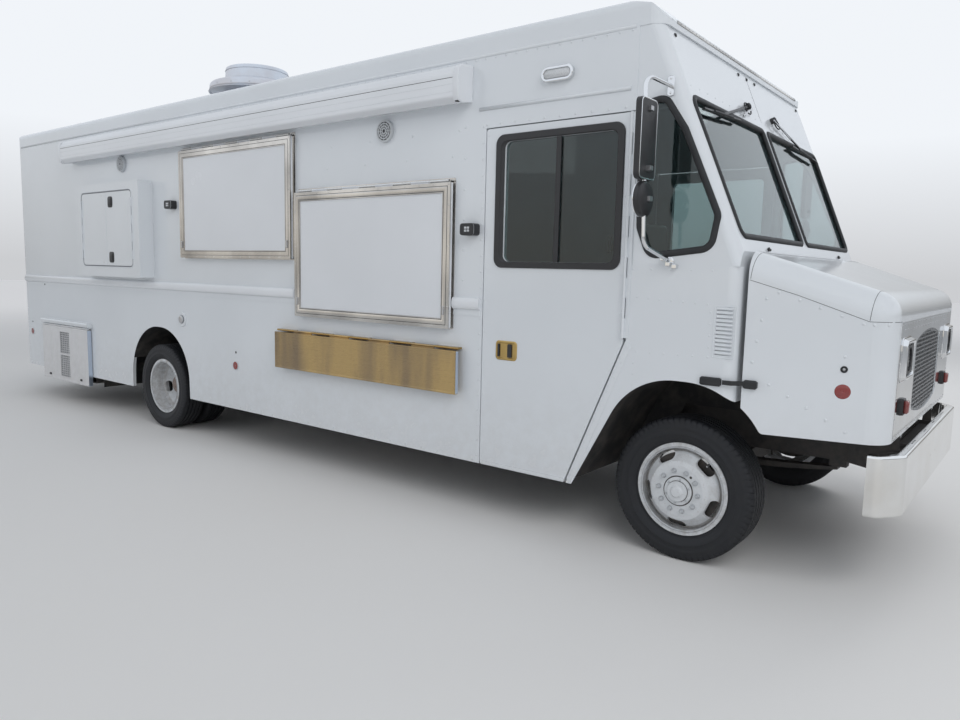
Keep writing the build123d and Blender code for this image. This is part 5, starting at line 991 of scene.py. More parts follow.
speaker_rings = []
speaker_cloth = []
for x, z in ((-2.169, 2.51), (-5.806, 2.535)):
    centre = on_side([(x, z)], -1, 0.022)[0]
    for radius in (0.071, 0.054, 0.037, 0.02):
        ring = [
            (radius, -0.002), (radius, 0.0035), (radius - 0.004, 0.0045), (radius - 0.007, 0.0035),
            (radius - 0.007, -0.002),
        ]
        speaker_rings.append(turned(ring, centre, KERB))
    for turn in np.linspace(0, 2 * np.pi, 12, endpoint=False):
        spoke = np.array([np.cos(turn), 0, np.sin(turn)])
        start, end = centre + 0.014 * spoke, centre + 0.068 * spoke
        speaker_rings.append(bar(mirrored((0.0018, -0.002), (0.0018, 0.003)), [start, end], KERB))
    speaker_cloth.append(dome(0.062, 0.001, centre, KERB))
make_piece("speaker_grilles", speaker_rings, fitting_grey, "root", 35)
make_piece("speaker_cones", speaker_cloth, black_plastic, "root")

lamp_bodies = []
lamp_lenses = []
for x, z in ((-1.395, 1.838), (-4.895, 2.111)):
    corners = box_corners(x - 0.0555, x + 0.0555, z - 0.0365, z + 0.0365)
    shell = [
        (0.001, -0.06), (0.001, -0.006), (-0.003, 0.002), (-0.012, 0.002), (-0.014, -0.004), (-0.014, -0.01),
    ]
    lamp_bodies.append(ring_on_side(corners, 0.018, -1, shell, 0.06))
    lamp_bodies.append(side_plate(-1, corners, 0.018, 0.0602, 0.0012, 0.0004))
    for dx in (-0.011, 0.011):
        for dz in (-0.009, 0.009):
            cell = box_corners(x + dx - 0.009, x + dx + 0.009, z + dz - 0.007, z + dz + 0.007)
            lamp_lenses.append(side_plate(-1, cell, 0.003, 0.0612, 0.0026, 0.001))
make_piece("scene_lamp_bodies", lamp_bodies, black_plastic, "root", 35)
make_piece("scene_lamp_lenses", lamp_lenses, clear_lens, "root")

inlet = on_side([(-4.787, 1.076)], -1)[0]
collar = [
    (0.0385, 0.006), (0.04, 0.01), (0.042, 0.011), (0.064, 0.0105), (0.067, 0.006), (0.067, -0.001),
    (0.0385, -0.001),
]
make_piece("inlet_base", turned(collar, inlet, KERB, 48), body_enamel, "root", 35)
cap = [(CORE, 0.0245), (0.025, 0.025), (0.031, 0.0235), (0.0347, 0.019), (0.0347, 0.004), (CORE, 0.004)]
make_piece("inlet_cap", turned(cap, inlet, KERB, 40), steel, "root", 35)

reflectors = []
screws = []
for x, z in ((-8.072, 0.747), (-3.961, 0.728)):
    reflectors.append(dome(0.034, 0.003, on_side([(x, z)], -1, 0.008)[0], KERB))
    screws.append(on_side([(x, z + 0.113)], -1)[0])
make_piece("side_reflectors", reflectors, brick_lens, "root")
screws.append(on_side([(-7.685, 1.311)], -1, 0.0045)[0])
make_piece("side_plugs", heads(screws, KERB, 0.011, 0.004, 12), black_plastic, "root")

marker = (-0.893, -0.69, 2.662, 2.738)
marker_section = [
    (0.004, -0.024), (0.004, 0.002), (0.0, 0.006), (-0.01, 0.006), (-0.014, 0.001), (-0.016, -0.004),
]
marker_rim = ring_on_side(box_corners(*marker), 0.0375, -1, marker_section, 0.024, 10)
make_piece("marker_lamp_rim", marker_rim, chrome, "root", 35)
marker_corners = box_corners(marker[0] + 0.016, marker[1] - 0.016, marker[2] + 0.015, marker[3] - 0.015)
marker_lens = side_plate(-1, marker_corners, 0.022, 0.0242, 0.003, 0.001, 8)
make_piece("marker_lamp_lens", marker_lens, clear_lens, "root")

# Rear lamps: three round lamps each side in the rear wall, held in rubber rings.
# The lowest two have red lenses and the top one an amber lens.
REAR_FACE = FRONT_AXLE - 8.25
for lamp_name, heights, lens in (("red", (0.76, 0.92), red_lens), ("top", (2.76,), amber_lens)):
    lenses = []
    rings = []
    for y in (-1.0, 1.0):
        for z in heights:
            centre = (REAR_FACE - 0.03, y, z)
            lenses.append(dome(0.046, 0.006, centre, (-1, 0, 0)))
            rings.append(turned(
                [(0.0565, -0.03), (0.0565, -0.004), (0.053, 0.001), (0.047, 0.001), (0.045, -0.004)], centre,
                (-1, 0, 0),
            ))
    make_piece(f"rear_lamp_lenses_{lamp_name}", lenses, lens, "root")
    make_piece(f"rear_lamp_rings_{lamp_name}", rings, black_rubber, "root", 35)

# Hood and its grille: a moulded shell that tips forward on two hinges at its foot, held down at each
# rear corner by a rubber draw latch. Its rear edge beds on a rubber seal.
coat_nodes(
    finish_from(
        "grille_wire", drawn_metal, Colour=(0.24, 0.25, 0.26), Tarnish_Colour=(0.12, 0.12, 0.13),
        Base_Roughness=0.3, Metallic=0.9,
    ), "grille",
)
coat_nodes(chrome, "headlamps")
HOOD_FRONT = FRONT_AXLE + 0.985
HOOD_ROWS = (
    # x from the front axle and height of both ends, spacing
    (0.478, 1.511, 0.848, 1.375, 0.098),
    (0.892, 1.373, 0.947, 1.373, 0.055),
    (0.424, 1.479, 0.377, 1.16, 0.105),
    (0.461, 1.052, 0.807, 0.849, 0.1),
    (0.783, 1.215, 0.783, 1.227, 0.012),
)
hood_tree = lands("hood")
# Rays start outside the body, at this distance from its middle
OUTSIDE = 1.6
side_marks = on_side(rows(*HOOD_ROWS), 1)[:-1]
side_marks[:, 1] = 0
rivet_marks = [landed(hood_tree, side_marks + (0, hand * OUTSIDE, 0), (0, -hand, 0), 1.2) for hand in (-1, 1)]
rivets("hood_rivets", *(np.concatenate(marks) for marks in zip(*rivet_marks)), 0.0082, 0.0044, "hood")


def laid(places, facing, profile):
    """A strip along places on a surface, its profile's second number rising the way the surface faces."""
    along = unit(np.gradient(places, axis=0))
    side = unit(np.cross(along, facing))
    profile = np.asarray(profile, float)
    points = places[:, None] + profile[None, :, :1] * side[:, None] + profile[None, :, 1:] * facing[:, None]
    return stacked(points)


def fan(x_range, centre, first, last, hand, steps=16):
    """Start points and rays that close in on a rounded shoulder from its outside. The rays swing about the
    shoulder's centre line from one angle above the level to another, while x runs through its range."""
    angle = np.radians(np.linspace(first, last, steps))
    away = np.stack((np.zeros(steps), hand * np.cos(angle), np.sin(angle)), -1)
    middle = np.stack(
        (np.linspace(*x_range, steps), np.full(steps, hand * centre[0]), np.full(steps, centre[1])), -1,
    )
    return middle + away * 0.4, -away


# The hood's panel seams are laid as thin dark strips of painted shade.
seam_band = mirrored((0.0011, -0.0008), (0.0011, 0.0006))
seams = []
for hand in (-1, 1):
    marks = on_side(
        rows(
            (0.342, 1.569, 0.566, 1.499, 0.05), (0.59, 1.49, 0.872, 1.387, 0.05),
            (0.882, 1.387, 0.955, 1.387, 0.01),
        ), hand, OUTSIDE - SIDE,
    )
    side_part = landed(hood_tree, marks, (0, -hand, 0), 1.2)
    marks = row((FRONT_AXLE + 1.4, hand * 1.0, 1.387), (FRONT_AXLE + 1.4, hand * 0.93, 1.387), 0.01)
    front_part = landed(hood_tree, marks, (-1, 0, 0), 1.0)
    seams.append(laid(*(np.concatenate(both) for both in zip(side_part, front_part)), seam_band))
    for x0, x1, shoulder, first, last in (
        (0.893, 0.872, (0.944, 1.41), 95, -8), (0.366, 0.346, (1.07, 1.584), 90, -4),
    ):
        start, rays = fan((FRONT_AXLE + x0, FRONT_AXLE + x1), shoulder, first, last, hand)
        seams.append(laid(*landed(hood_tree, start, rays), seam_band))
crossing = row((FRONT_AXLE + 0.366, -1.07, 2.2), (FRONT_AXLE + 0.366, 1.07, 2.2), 0.08)
seams.append(laid(*landed(hood_tree, crossing, (0, 0, -1), 1.2), seam_band))
make_piece("hood_seams", seams, painted_shade, "hood", 0)

# Front panel of the hood: polished stainless sheet with openings for the grille and the lamps.
# It is held by small screws along its edges.
polished_steel = finish_from(
    "polished_steel", drawn_metal, Colour=(0.56, 0.57, 0.58), Tarnish_Colour=(0.4, 0.38, 0.35), Tarnish=0.6,
    Base_Roughness=0.05, Grain=0.04, Grain_Along=(6.0, 6.0, 6.0), Metallic=1.0,
)
LAMP_Y = 0.757
LAMP_Z = 1.197


def pierced(outer, holes, place, depth):
    """A flat sheet with holes, filled by triangles on both faces. The outline runs one way round and the
    holes the other, so that the walls of all their edges face away from the sheet."""
    loops = []
    for number, loop in enumerate([outer] + holes):
        loop = np.asarray(loop, float)
        area = np.sum(loop[:, 0] * np.roll(loop[:, 1], -1) - loop[:, 1] * np.roll(loop[:, 0], -1))
        loops.append(loop if (area > 0) == (number == 0) else loop[::-1])
    flat = np.concatenate(loops)
    count = len(flat)
    corners = np.array(tessellate_polygon([[Vector((a, b, 0)) for a, b in loop] for loop in loops]))
    first, second, third = flat[corners[:, 0]], flat[corners[:, 1]], flat[corners[:, 2]]
    turning = (second - first)[:, 0] * (third - first)[:, 1] - (second - first)[:, 1] * (third - first)[:, 0]
    corners = np.where(turning[:, None] > 0, corners, corners[:, ::-1])
    faces = (corners + count).tolist() + corners[:, ::-1].tolist()
    start = 0
    for loop in loops:
        edge = start + np.arange(len(loop))
        following = start + (np.arange(len(loop)) + 1) % len(loop)
        faces += np.stack((edge, following, following + count, edge + count), -1).tolist()
        start += len(loop)
    return outward(np.concatenate((place(flat, 0.0), place(flat, depth))), faces)


def on_front(points, stand=0.0):
    """Points given by y and z as places on the hood's front face, standing off it."""
    return at_x(HOOD_FRONT + stand, points)


GRILLE_HALF = 0.445
GRILLE_BOW = 0.046
arch_y = np.linspace(-GRILLE_HALF, GRILLE_HALF, 25)
bow = GRILLE_BOW * (arch_y / GRILLE_HALF) ** 2
grille_hole = np.concatenate((np.stack((arch_y, 0.856 + bow), -1), np.stack((arch_y, 1.316 - bow), -1)[::-1]))
grille_hole = rounded_path(
    grille_hole, np.where(np.abs(grille_hole[:, 0]) > GRILLE_HALF - 0.001, 0.016, 0.0), 4,
)
lamp_holes = [
    rounded_path(
        [(hand * LAMP_Y + y, LAMP_Z + z) for y, z in box_corners(-0.116, 0.116, -0.095, 0.095)], 0.028,
    )
    for hand in (-1, 1)
]
panel = pierced(
    rounded_path(box_corners(-0.926, 0.926, 0.803, 1.385), 0.008, 4), [grille_hole] + lamp_holes, on_front,
    0.0015,
)
make_piece("hood_front_panel", panel, polished_steel, "hood", 35)
screw_rows = rows(
    (-0.912, 0.822, -0.912, 1.366, 0.09), (0.912, 0.822, 0.912, 1.366, 0.09),
    (-0.83, 1.372, 0.83, 1.372, 0.083), (-0.83, 1.344, 0.83, 1.344, 0.083),
    (-0.83, 0.817, 0.83, 0.817, 0.083),
)
panel_screws = on_front(screw_rows, 0.0015)
make_piece("hood_panel_screws", heads(panel_screws, (1, 0, 0), 0.0052, 0.0028), steel, "hood")
uprights = []
for y in np.linspace(-0.396, 0.396, 9):
    tall = GRILLE_BOW * (y / GRILLE_HALF) ** 2
    uprights.append(block(
        (HOOD_FRONT - 0.016, y - 0.0018, 0.857 + tall), (HOOD_FRONT - 0.002, y + 0.0018, 1.315 - tall),
        0.0008,
    ))
make_piece("grille_uprights", uprights, steel, "hood", 0)

# Rubber latches: a strap from an anchor on the cowl to a catch on the hood.
# It is drawn taut, so the hood stays down on its seal.
for hand, side_name in SIDES:
    y = hand * SIDE
    z = 1.05
    hood_side = landed(hood_tree, [(FRONT_AXLE + 0.38, y * 1.3, z)], (0, -hand, 0))[0][0][1]
    rise = hand * hood_side - SIDE
    anchor = side_block(hand, 0.138, 0.246, z - 0.024, z + 0.02, -0.001, 0.018, 0.007)
    catch = side_block(hand, 0.344, 0.412, z - 0.026, z + 0.018, rise - 0.001, rise + 0.022, 0.008)
    strap_line = np.array([
        (FRONT_AXLE + 0.255, y + hand * 0.012, z), (FRONT_AXLE + 0.3, y + hand * 0.013, z),
        (FRONT_AXLE + 0.36, hood_side + hand * 0.014, z),
    ])
    strap = bar(mirrored((0.011, -0.004), (0.011, 0.004)), strap_line, (0, hand, 0))
    make_piece(f"hood_latch_{side_name}", [anchor, strap], black_rubber, "root", 35)
    make_piece(f"hood_catch_{side_name}", catch, black_rubber, "hood", 35)

# Cowl louvres: a pressed panel of slots with a raised rim on each side of the cowl.
# The slots let warm air out from under the hood.
louvre_blades = []
for hand in (-1, 1):
    for number in range(12):
        z = 1.302 + (number - 5.5) * 0.0205
        path = on_side([(0.203, z + 0.006), (0.287, z + 0.006)], hand)
        blade = [(0.0072, -0.001), (0.0045, 0.0042), (0.0005, 0.0055), (-0.0055, 0.0008), (-0.006, -0.001)]
        louvre_blades.append(bar([(hand * -s, h) for s, h in blade], path, (0, hand, 0)))
    rim = ring_on_side(
        box_corners(0.19, 0.3, 1.172, 1.432), 0.006, hand,
        [(0.0035, -0.0005), (0.002, 0.0018), (-0.001, 0.0018), (-0.0025, -0.0005)],
    )
    louvre_blades.append(rim)
make_piece("cowl_louvres", louvre_blades, body_enamel, "root", 40)
cowl_rows = rows(
    (-0.245, 1.46, 0.15, 1.44, 0.065), (-0.235, 1.165, 0.165, 1.17, 0.085), (0.168, 1.22, 0.168, 1.4, 0.06),
    (-0.25, 0.98, -0.25, 1.1, 0.08), (-0.28, 1.612, 0.165, 1.612, 0.11),
)
places = np.concatenate([on_side(cowl_rows, hand) for hand in (-1, 1)])
rivets("cowl_rivets", places, np.sign(places * (0, 1, 0)), 0.006, 0.0024)

# Headlamps: a reflector bowl, a bulb cap and a flat clear glass in each chrome bezel.
# The turn lamp under each has a dull red lens in a black housing.
lamp_glass = glass_material("lamp_glass", (0.8, 0.84, 0.86), 0.02)
turn_lens = lens_material("turn_lens", (0.3, 0.06, 0.055))
coat_nodes(black_plastic, "turn_lamps")
for hand, side_name in SIDES:
    def on_lamp(points, stand=0.0, middle=hand * LAMP_Y):
        """Points about a headlamp's centre, standing off the bezel's face."""
        return on_front(points + (middle, LAMP_Z), 0.022 + stand)
    bowl = [
        (CORE, -0.07), (0.03, -0.066), (0.052, -0.05), (0.064, -0.026), (0.068, -0.026), (0.056, -0.053),
        (0.032, -0.071), (CORE, -0.074),
    ]
    bowl = turned(bowl, on_front([(hand * LAMP_Y, LAMP_Z)], 0.022)[0], (1, 0, 0), 40)
    bulb = dome(0.017, 0.022, on_front([(hand * LAMP_Y, LAMP_Z)], -0.046)[0], (1, 0, 0), 20)
    make_piece(f"headlamp_reflector_{side_name}", [bowl, bulb], chrome, "hood", 50)
    surround = pierced(
        rounded_path(box_corners(-0.092, 0.092, -0.07, 0.07), 0.014),
        [rounded_path(box_corners(-0.06, 0.06, -0.06, 0.06), 0.0595, 9)], on_lamp, -0.034,
    )
    surround[0][:, 0] -= 0.001
    make_piece(f"headlamp_surround_{side_name}", surround, black_plastic, "hood", 35)
    rims = []
    for half_y, half_z, radius, section, stand in (
        (0.1115, 0.0895, 0.024, half_round(0.0168, 0.005), 0.022),
        (
            0.128, 0.106, 0.034,
            [(0.0045, -0.0005), (0.004, 0.0026), (0.0015, 0.004), (-0.003, 0.004), (-0.003, -0.0005)], 0.0015,
        ),
    ):
        loop = rounded_path(
            [(hand * LAMP_Y + y, LAMP_Z + z) for y, z in box_corners(-half_y, half_y, -half_z, half_z)],
            radius, 8,
        )
        rims.append(carried(section, on_front(loop, stand), (1, 0, 0)))
    make_piece(f"headlamp_rims_{side_name}", rims, chrome, "hood", 50)
    cover = plate(
        box_corners(-0.0985, 0.0985, -0.0765, 0.0765), 0.016,
        lambda points, stand: on_lamp(points, stand - 0.012), 0.004, 0.0012,
    )
    make_piece(f"headlamp_lens_{side_name}", cover, lamp_glass, "hood")
    turn_corners = [(hand * 0.752 + y, 0.957 + z) for y, z in box_corners(-0.029, 0.029, -0.033, 0.033)]
    lens = plate(turn_corners, 0.014, lambda points, stand: on_front(points, 0.0155 + stand), 0.022, 0.007)
    make_piece(f"turn_lamp_lens_{side_name}", lens, turn_lens, "hood")
    spot = landed(hood_tree, [(FRONT_AXLE + 0.783, hand * OUTSIDE, 1.046)], (0, -hand, 0), 1.2)
    disc = dome(0.036, 0.004, spot[0][0], spot[1][0])
    make_piece(f"hood_reflector_{side_name}", disc, brick_lens, "hood")
    spot = landed(hood_tree, [(FRONT_AXLE + 0.782, hand * OUTSIDE, 1.154)], (0, -hand, 0), 1.2)
    collar = [(0.0075, -0.001), (0.0165, -0.001), (0.0165, 0.003), (0.013, 0.0055), (0.0085, 0.0045)]
    plug = turned(collar, spot[0][0], spot[1][0], 24)
    make_piece(f"hood_lock_collar_{side_name}", plug, black_rubber, "hood", 35)
    pin = dome(0.008, 0.0035, spot[0][0], spot[1][0], 18)
    make_piece(f"hood_lock_pin_{side_name}", pin, steel, "hood")

# Header above the glass: two sheets that meet in a joint at the middle, with rows of rivets.
# Five small marker lamps stand under the gutter, and a dotted trim runs above it.
# The joint of the sheets is a dark strip of painted shade.
seam_line = on_rake([(0.0, 2.56), (0.0, 2.868)])
header_seam = bar(seam_band, seam_line, rake_out)
make_piece("header_seam", header_seam, painted_shade, "root", 0)
lamps = on_rake([(-1.105, 2.84), (-0.151, 2.84), (0.0, 2.84), (0.151, 2.84), (1.105, 2.84)])
make_piece("header_lamps", heads(lamps, rake_out, 0.012, 0.009, 14), black_plastic, "root")
edge_marks = row((GUTTER_X + 0.3, -1.08, 2.914), (GUTTER_X + 0.3, 1.08, 2.914), 0.05)
places, facing = landed(roof_tree, edge_marks, (-1, 0, 0))
edge_trim = laid(places, facing, mirrored((0.009, -0.0008), (0.009, 0.0016), (0.007, 0.0026)))
make_piece("gutter_trim", edge_trim, polished_aluminium, "root")
# The trim's dots are dark domes of painted shade where its screws sit.
make_piece(
    "gutter_dots", heads(places + facing * 0.0024, facing, 0.0042, 0.0012), painted_shade, "root",
)
header_rows = rows((-1.13, 2.565, 1.13, 2.565, 0.115), (-0.02, 2.6, -0.02, 2.84, 0.06))
rivets("header_rivets", on_rake(header_rows), rake_out, 0.006, 0.0028)

# Wipers: a pressed black arm hung from a motor spindle above each pane, with a rubber blade.
# Two washer nozzles stand on the scuttle below the glass.
coat_nodes(black_plastic, "wipers")
blades = []
nozzles = []
links = []
for hand in (-1, 1):
    start, end = on_rake([(hand * 0.52, 2.478), (hand * 1.1, 2.442)])
    blades.append(bar(mirrored((0.0012, 0.002), (0.0012, 0.014)), [start, end], rake_out))
    yoke = on_rake([(hand * 0.66, 2.4693), (hand * 0.96, 2.4507)], 0.022)
    blades.append(bar(mirrored((0.007, 0), (0.004, 0.006)), yoke, rake_out))
    cap = on_rake([(hand * 0.25, 2.61)], 0.026)[0]
    blades.append(dome(0.02, 0.01, cap, rake_out, 20))
    swing = np.linspace(0, 2 * np.pi, 22, endpoint=False)
    bight = on_rake(
        np.column_stack((hand * 0.285 + 0.05 * np.cos(swing), 2.59 + 0.034 * np.sin(swing))), 0.02,
    )
    tube = np.stack((np.cos(swing[::3]), np.sin(swing[::3])), -1) * 0.0042
    blades.append(carried(tube, bight, rake_out))
    nozzle_arm = on_rake([(hand * 0.205, 2.598), (hand * 0.33, 2.56), (hand * 0.47, 2.508)], 0.03)
    links.append(bar(mirrored((0.0045, -0.003), (0.0045, 0.003)), nozzle_arm, rake_out))
    foot = on_rake([(hand * 0.78, 1.728)])[0]
    nozzles.append(block(foot + (-0.012, -0.018, -0.004), foot + (0.01, 0.018, 0.01), 0.003))
    nozzles.append(dome(0.007, 0.007, foot + (0.0, 0.006, 0.01), (0, 0, 1), 14))
make_piece("wiper_blades", blades, black_rubber, "root", 35)
make_piece("washer_nozzles", nozzles, black_plastic, "root", 35)
make_piece("wiper_links", links, steel, "root", 35)

# Bumpers: a rolled channel of polished stainless steel in front, bolted to both frame rails, with drain
# slots through its upper lip; the rear step bumper is white enamel worn by boots and weather.
bumper_steel = finish_from(
    "bumper_steel", drawn_metal, Colour=(0.82, 0.82, 0.81), Tarnish_Colour=(0.66, 0.63, 0.58), Tarnish=0.5,
    Base_Roughness=0.06, Grain=0.05, Grain_Along=(20.0, 5.0, 20.0), Metallic=1.0,
)
coat_nodes(bumper_steel, "front_bumper")
bumper_enamel = finish_from(
    "bumper_enamel", enamel, Colour=(0.74, 0.75, 0.75), Gloss_Roughness=0.24, Dust_Top=1.3, Dust_Amount=0.45,
    Peel=0.25,
)
coat_nodes(bumper_enamel, "rear_bumper")
BUMPER_X = FRONT_AXLE + 1.058
SLOTS = (-0.6, -0.555, -0.51, -0.19, -0.145, 0.145, 0.19, 0.51, 0.555, 0.6)
# The drain slots are thin dark plates of painted shade on the lip, with no openings cut.
slots = [
    block((BUMPER_X - 0.032, y - 0.016, 0.7494), (BUMPER_X - 0.026, y + 0.016, 0.7502), 0.0003) for y in SLOTS
]
make_piece("bumper_slots", slots, painted_shade, "root", 0)


def bolts(places, axis, radius, height, washer=1.35, chamfer=0.0015):
    """Chamfered hexagon heads, each on a round washer."""
    ring = [(CORE, -0.0006), (radius * washer, -0.0006), (radius * washer, 0.0014), (CORE, 0.0018)]
    head = [
        (CORE, -0.0005), (radius, -0.0005), (radius, height - chamfer), (radius - chamfer, height),
        (CORE, height),
    ]
    return [
        turned(section, place, axis, sides) for place in places for section, sides in ((ring, 20), (head, 6))
    ]


bumper_bolts = [
    (BUMPER_X - 0.009, hand * y, z)
    for hand in (-1, 1)
    for y, z in ((0.4, 0.54), (0.4, 0.66), (0.445, 0.6), (0.76, 0.56), (0.76, 0.64))
]
make_piece("bumper_bolts", bolts(bumper_bolts, (1, 0, 0), 0.0088, 0.0088), steel, "root", 35)

# Mirrors: a flat head and a round convex one on each bent chrome tube, clamped with small brackets.
# The glass faces back, and a bright rim holds it in a black shell.
coat_nodes(black_plastic, "mirror_heads")
coat_nodes(chrome, "mirror_arms")
mirror_glass = finish_from(
    "mirror_glass", drawn_metal, Colour=(0.82, 0.84, 0.85), Tarnish_Colour=(0.7, 0.72, 0.73), Tarnish=0.2,
    Base_Roughness=0.01, Grain=0.01, Metallic=1.0,
)
HEAD_Z = 2.252
ROUND_Z = 1.96
for hand, side_name in SIDES:
    y = hand * 1.45
    head = [
        (y + dy, HEAD_Z + dz) for dy, dz in ((-0.09, -0.197), (0.09, -0.197), (0.09, 0.197), (-0.09, 0.197))
    ]
    path = rounded_path(head, 0.03)
    rims = []
    for x, out in ((FRONT_AXLE - 0.1505, -1), (FRONT_AXLE - 0.1175, 1)):
        line = at_x(x, path)[::out]
        section = [(-0.0004, -0.006), (-0.0004, 0.0004), (-0.004, 0.0012), (-0.007, 0.0002), (-0.007, -0.004)]
        rims.append(carried(section, line, (out, 0, 0)))
    round_line = [(0.0895, 0.0), (0.0895, 0.005), (0.086, 0.0062), (0.083, 0.003), (0.083, 0.0)]
    rims.append(turned(round_line, (FRONT_AXLE - 0.1455, y, ROUND_Z), (-1, 0, 0), 40))
    make_piece(f"mirror_rims_{side_name}", rims, chrome, "root", 35)
    shell = dome(0.088, 0.02, (FRONT_AXLE - 0.122, y, ROUND_Z), (1, 0, 0), 40)
    make_piece(f"mirror_shell_{side_name}", shell, black_plastic, "root", 35)
    face_corners = [(y + (a - y) * 0.93, HEAD_Z + (b - HEAD_Z) * 0.966) for a, b in head]
    flat_glass = plate(
        face_corners, 0.026, lambda points, off: at_x(FRONT_AXLE - 0.15 - off, points), 0.0012, 0.0004,
    )
    convex = dome(0.084, 0.009, (FRONT_AXLE - 0.145, y, ROUND_Z), (-1, 0, 0), 40)
    make_piece(f"mirror_glass_{side_name}", [flat_glass, convex], mirror_glass, "root")
    clamps = []
    for z in (2.4, 2.11, ROUND_Z):
        x = FRONT_AXLE - 0.15 + (2.569 - z) * 0.0358
        clamps.append(block((x - 0.014, y - 0.016, z - 0.013), (x + 0.04, y + 0.016, z + 0.013), 0.003))
    make_piece(f"mirror_clamps_{side_name}", clamps, steel, "root", 35)
    feet = []
    centre = (FRONT_AXLE - 0.07, hand * (SIDE - 0.004), 1.655)
    feet.append(turned(
        [(CORE, -0.002), (0.026, -0.002), (0.026, 0.004), (0.02, 0.009), (CORE, 0.01)], centre, (0, hand, 0),
        24,
    ))
    clamp = box_corners(-0.126, -0.09, 2.498, 2.598)
    feet.append(side_plate(hand, clamp, 0.012, -0.001, 0.008, 0.002))
    feet.append(heads(on_side([(-0.108, 2.512), (-0.108, 2.584)], hand, 0.007), (0, hand, 0), 0.007, 0.004))
    for x, z in ((-0.066, 1.64), (-0.03, 1.628), (-0.094, 1.668)):
        low = np.array((FRONT_AXLE + x - 0.012, min(hand * 1.236, hand * 1.27), z - 0.012))
        feet.append(block(low, low + (0.024, 0.034, 0.024), 0.004))
    make_piece(f"mirror_feet_{side_name}", feet, chrome, "root", 35)

# Wheels: white-painted steel discs welded in rolled rims, ten studs to a wheel, with five hand holes.
# Road dirt gathers in the dish, a ring of painted shade darkens the trough under the rim's lip, and rust
# weeps from the nuts.
WHEEL_Z = 0.404
REAR_AXLE = FRONT_AXLE - 5.22


def wheel_group():
    """Wheel enamel: dirt thickens away from the hub and in patches, rust stains follow fine noise, and a ring
    under the rim's lip takes the dirt colour as painted shade.
    """
    # The dirt colour is also the colour of the painted shade in the trough under the rim's lip.
    group, given, place = start_group(
        "Wheel enamel", Colour=(0.7, 0.72, 0.74), Dirt_Colour=(0.26, 0.23, 0.2),
        Rust_Colour=(0.22, 0.1, 0.05), Axle_X=FRONT_AXLE, Bare_Radius=0.0, Dirt=0.6, Rust=0.5,
        Base_Roughness=0.3, Trough=0.0,
    )
    axes = add_node(group, "SeparateXYZ", (("Vector", place),)).outputs
    ahead = reckoned(group, "SUBTRACT", axes["X"], given["Axle X"])
    above = reckoned(group, "SUBTRACT", axes["Z"], WHEEL_Z)
    spoke = add_node(group, "CombineXYZ", (("X", ahead), ("Z", above))).outputs["Vector"]
    radius = add_node(group, "VectorMath", ((0, spoke),), operation="LENGTH").outputs["Value"]
    far = ranged(group, radius, 0.13, 0.27, 0.1, 1.0)
    patch = ranged(group, noise(group, place, 22.0, 8.0, 0.62), 0.4, 0.72)
    thick = reckoned(group, "MULTIPLY", reckoned(group, "MULTIPLY", far, patch), given["Dirt"])
    # A ring under the rim's lip, darkened towards the dirt colour as painted shade of the dished trough.
    inside = ranged(group, radius, 0.208, 0.214, interpolation_type="SMOOTHSTEP")
    outside = ranged(group, radius, 0.234, 0.228, interpolation_type="SMOOTHSTEP")
    ring = reckoned(group, "MULTIPLY", inside, outside)
    amount = reckoned(group, "MULTIPLY_ADD", ring, given["Trough"], thick, use_clamp=True)
    dirt_and_trough_shade = blend(group, amount, given["Colour"], given["Dirt Colour"])
    fleck = noise(group, place, 90.0, 5.0)
    rust = reckoned(group, "MULTIPLY", ranged(group, fleck, 0.6, 0.7), given["Rust"])
    bare = reckoned(group, "LESS_THAN", radius, given["Bare Radius"])
    stained = reckoned(group, "MULTIPLY_ADD", bare, 0.82, rust)
    rusted = blend(group, stained, dirt_and_trough_shade, given["Rust Colour"], clamp_factor=True)
    dull = reckoned(group, "MULTIPLY_ADD", amount, 0.5, given["Base Roughness"])
    return end_group(group, rusted, dull, bump(group, fleck, 0.15, 0.0006))


wheel_enamel = wheel_group()
# Each wheel's trough under the rim's lip is darkened as painted shade, the front more than the rear.
front_wheel_white = finish_from("front_wheel_white", wheel_enamel, Axle_X=FRONT_AXLE, Rust=0.2, Trough=0.55)
rear_wheel_white = finish_from(
    "rear_wheel_white", wheel_enamel, Axle_X=REAR_AXLE, Dirt=0.7, Rust=0.35, Trough=0.3, Bare_Radius=0.083,
    Rust_Colour=(0.17, 0.095, 0.06),
)
wheel_nut = finish_from(
    "wheel_nut", wheel_enamel, Colour=(0.52, 0.54, 0.56), Rust=0.35, Base_Roughness=0.32, Metallic=0.2,
)
hub_dark = finish_from(
    "hub_dark", rubber, Colour=(0.035, 0.032, 0.03), Bloom_Colour=(0.12, 0.09, 0.07), Bloom=0.6,
)
coat_nodes(front_wheel_white, "front_wheel_right", "front_wheel_left")
coat_nodes(rear_wheel_white, "rear_wheels_right", "rear_wheels_left")

# Tyres: commercial rib tyres with four zigzag grooves, blocked shoulders and moulded rings on the side walls.
# Their rubber is black, greyed by dust on the walls and scuffed on the tread.
TYRE_PITCHES = 72
FRONT_Y = 0.992
OUTER_Y = 1.107
INNER_Y = 0.845
DISC_Y = 1.122
HUB_Y = 1.132
tyre_rubber = finish_from(
    "tyre_rubber", rubber, Colour=(0.009, 0.01, 0.013), Bloom_Colour=(0.03, 0.03, 0.031), Bloom=0.5,
    Base_Roughness=0.6, Grain=0.35, Grain_Scale=700.0,
)


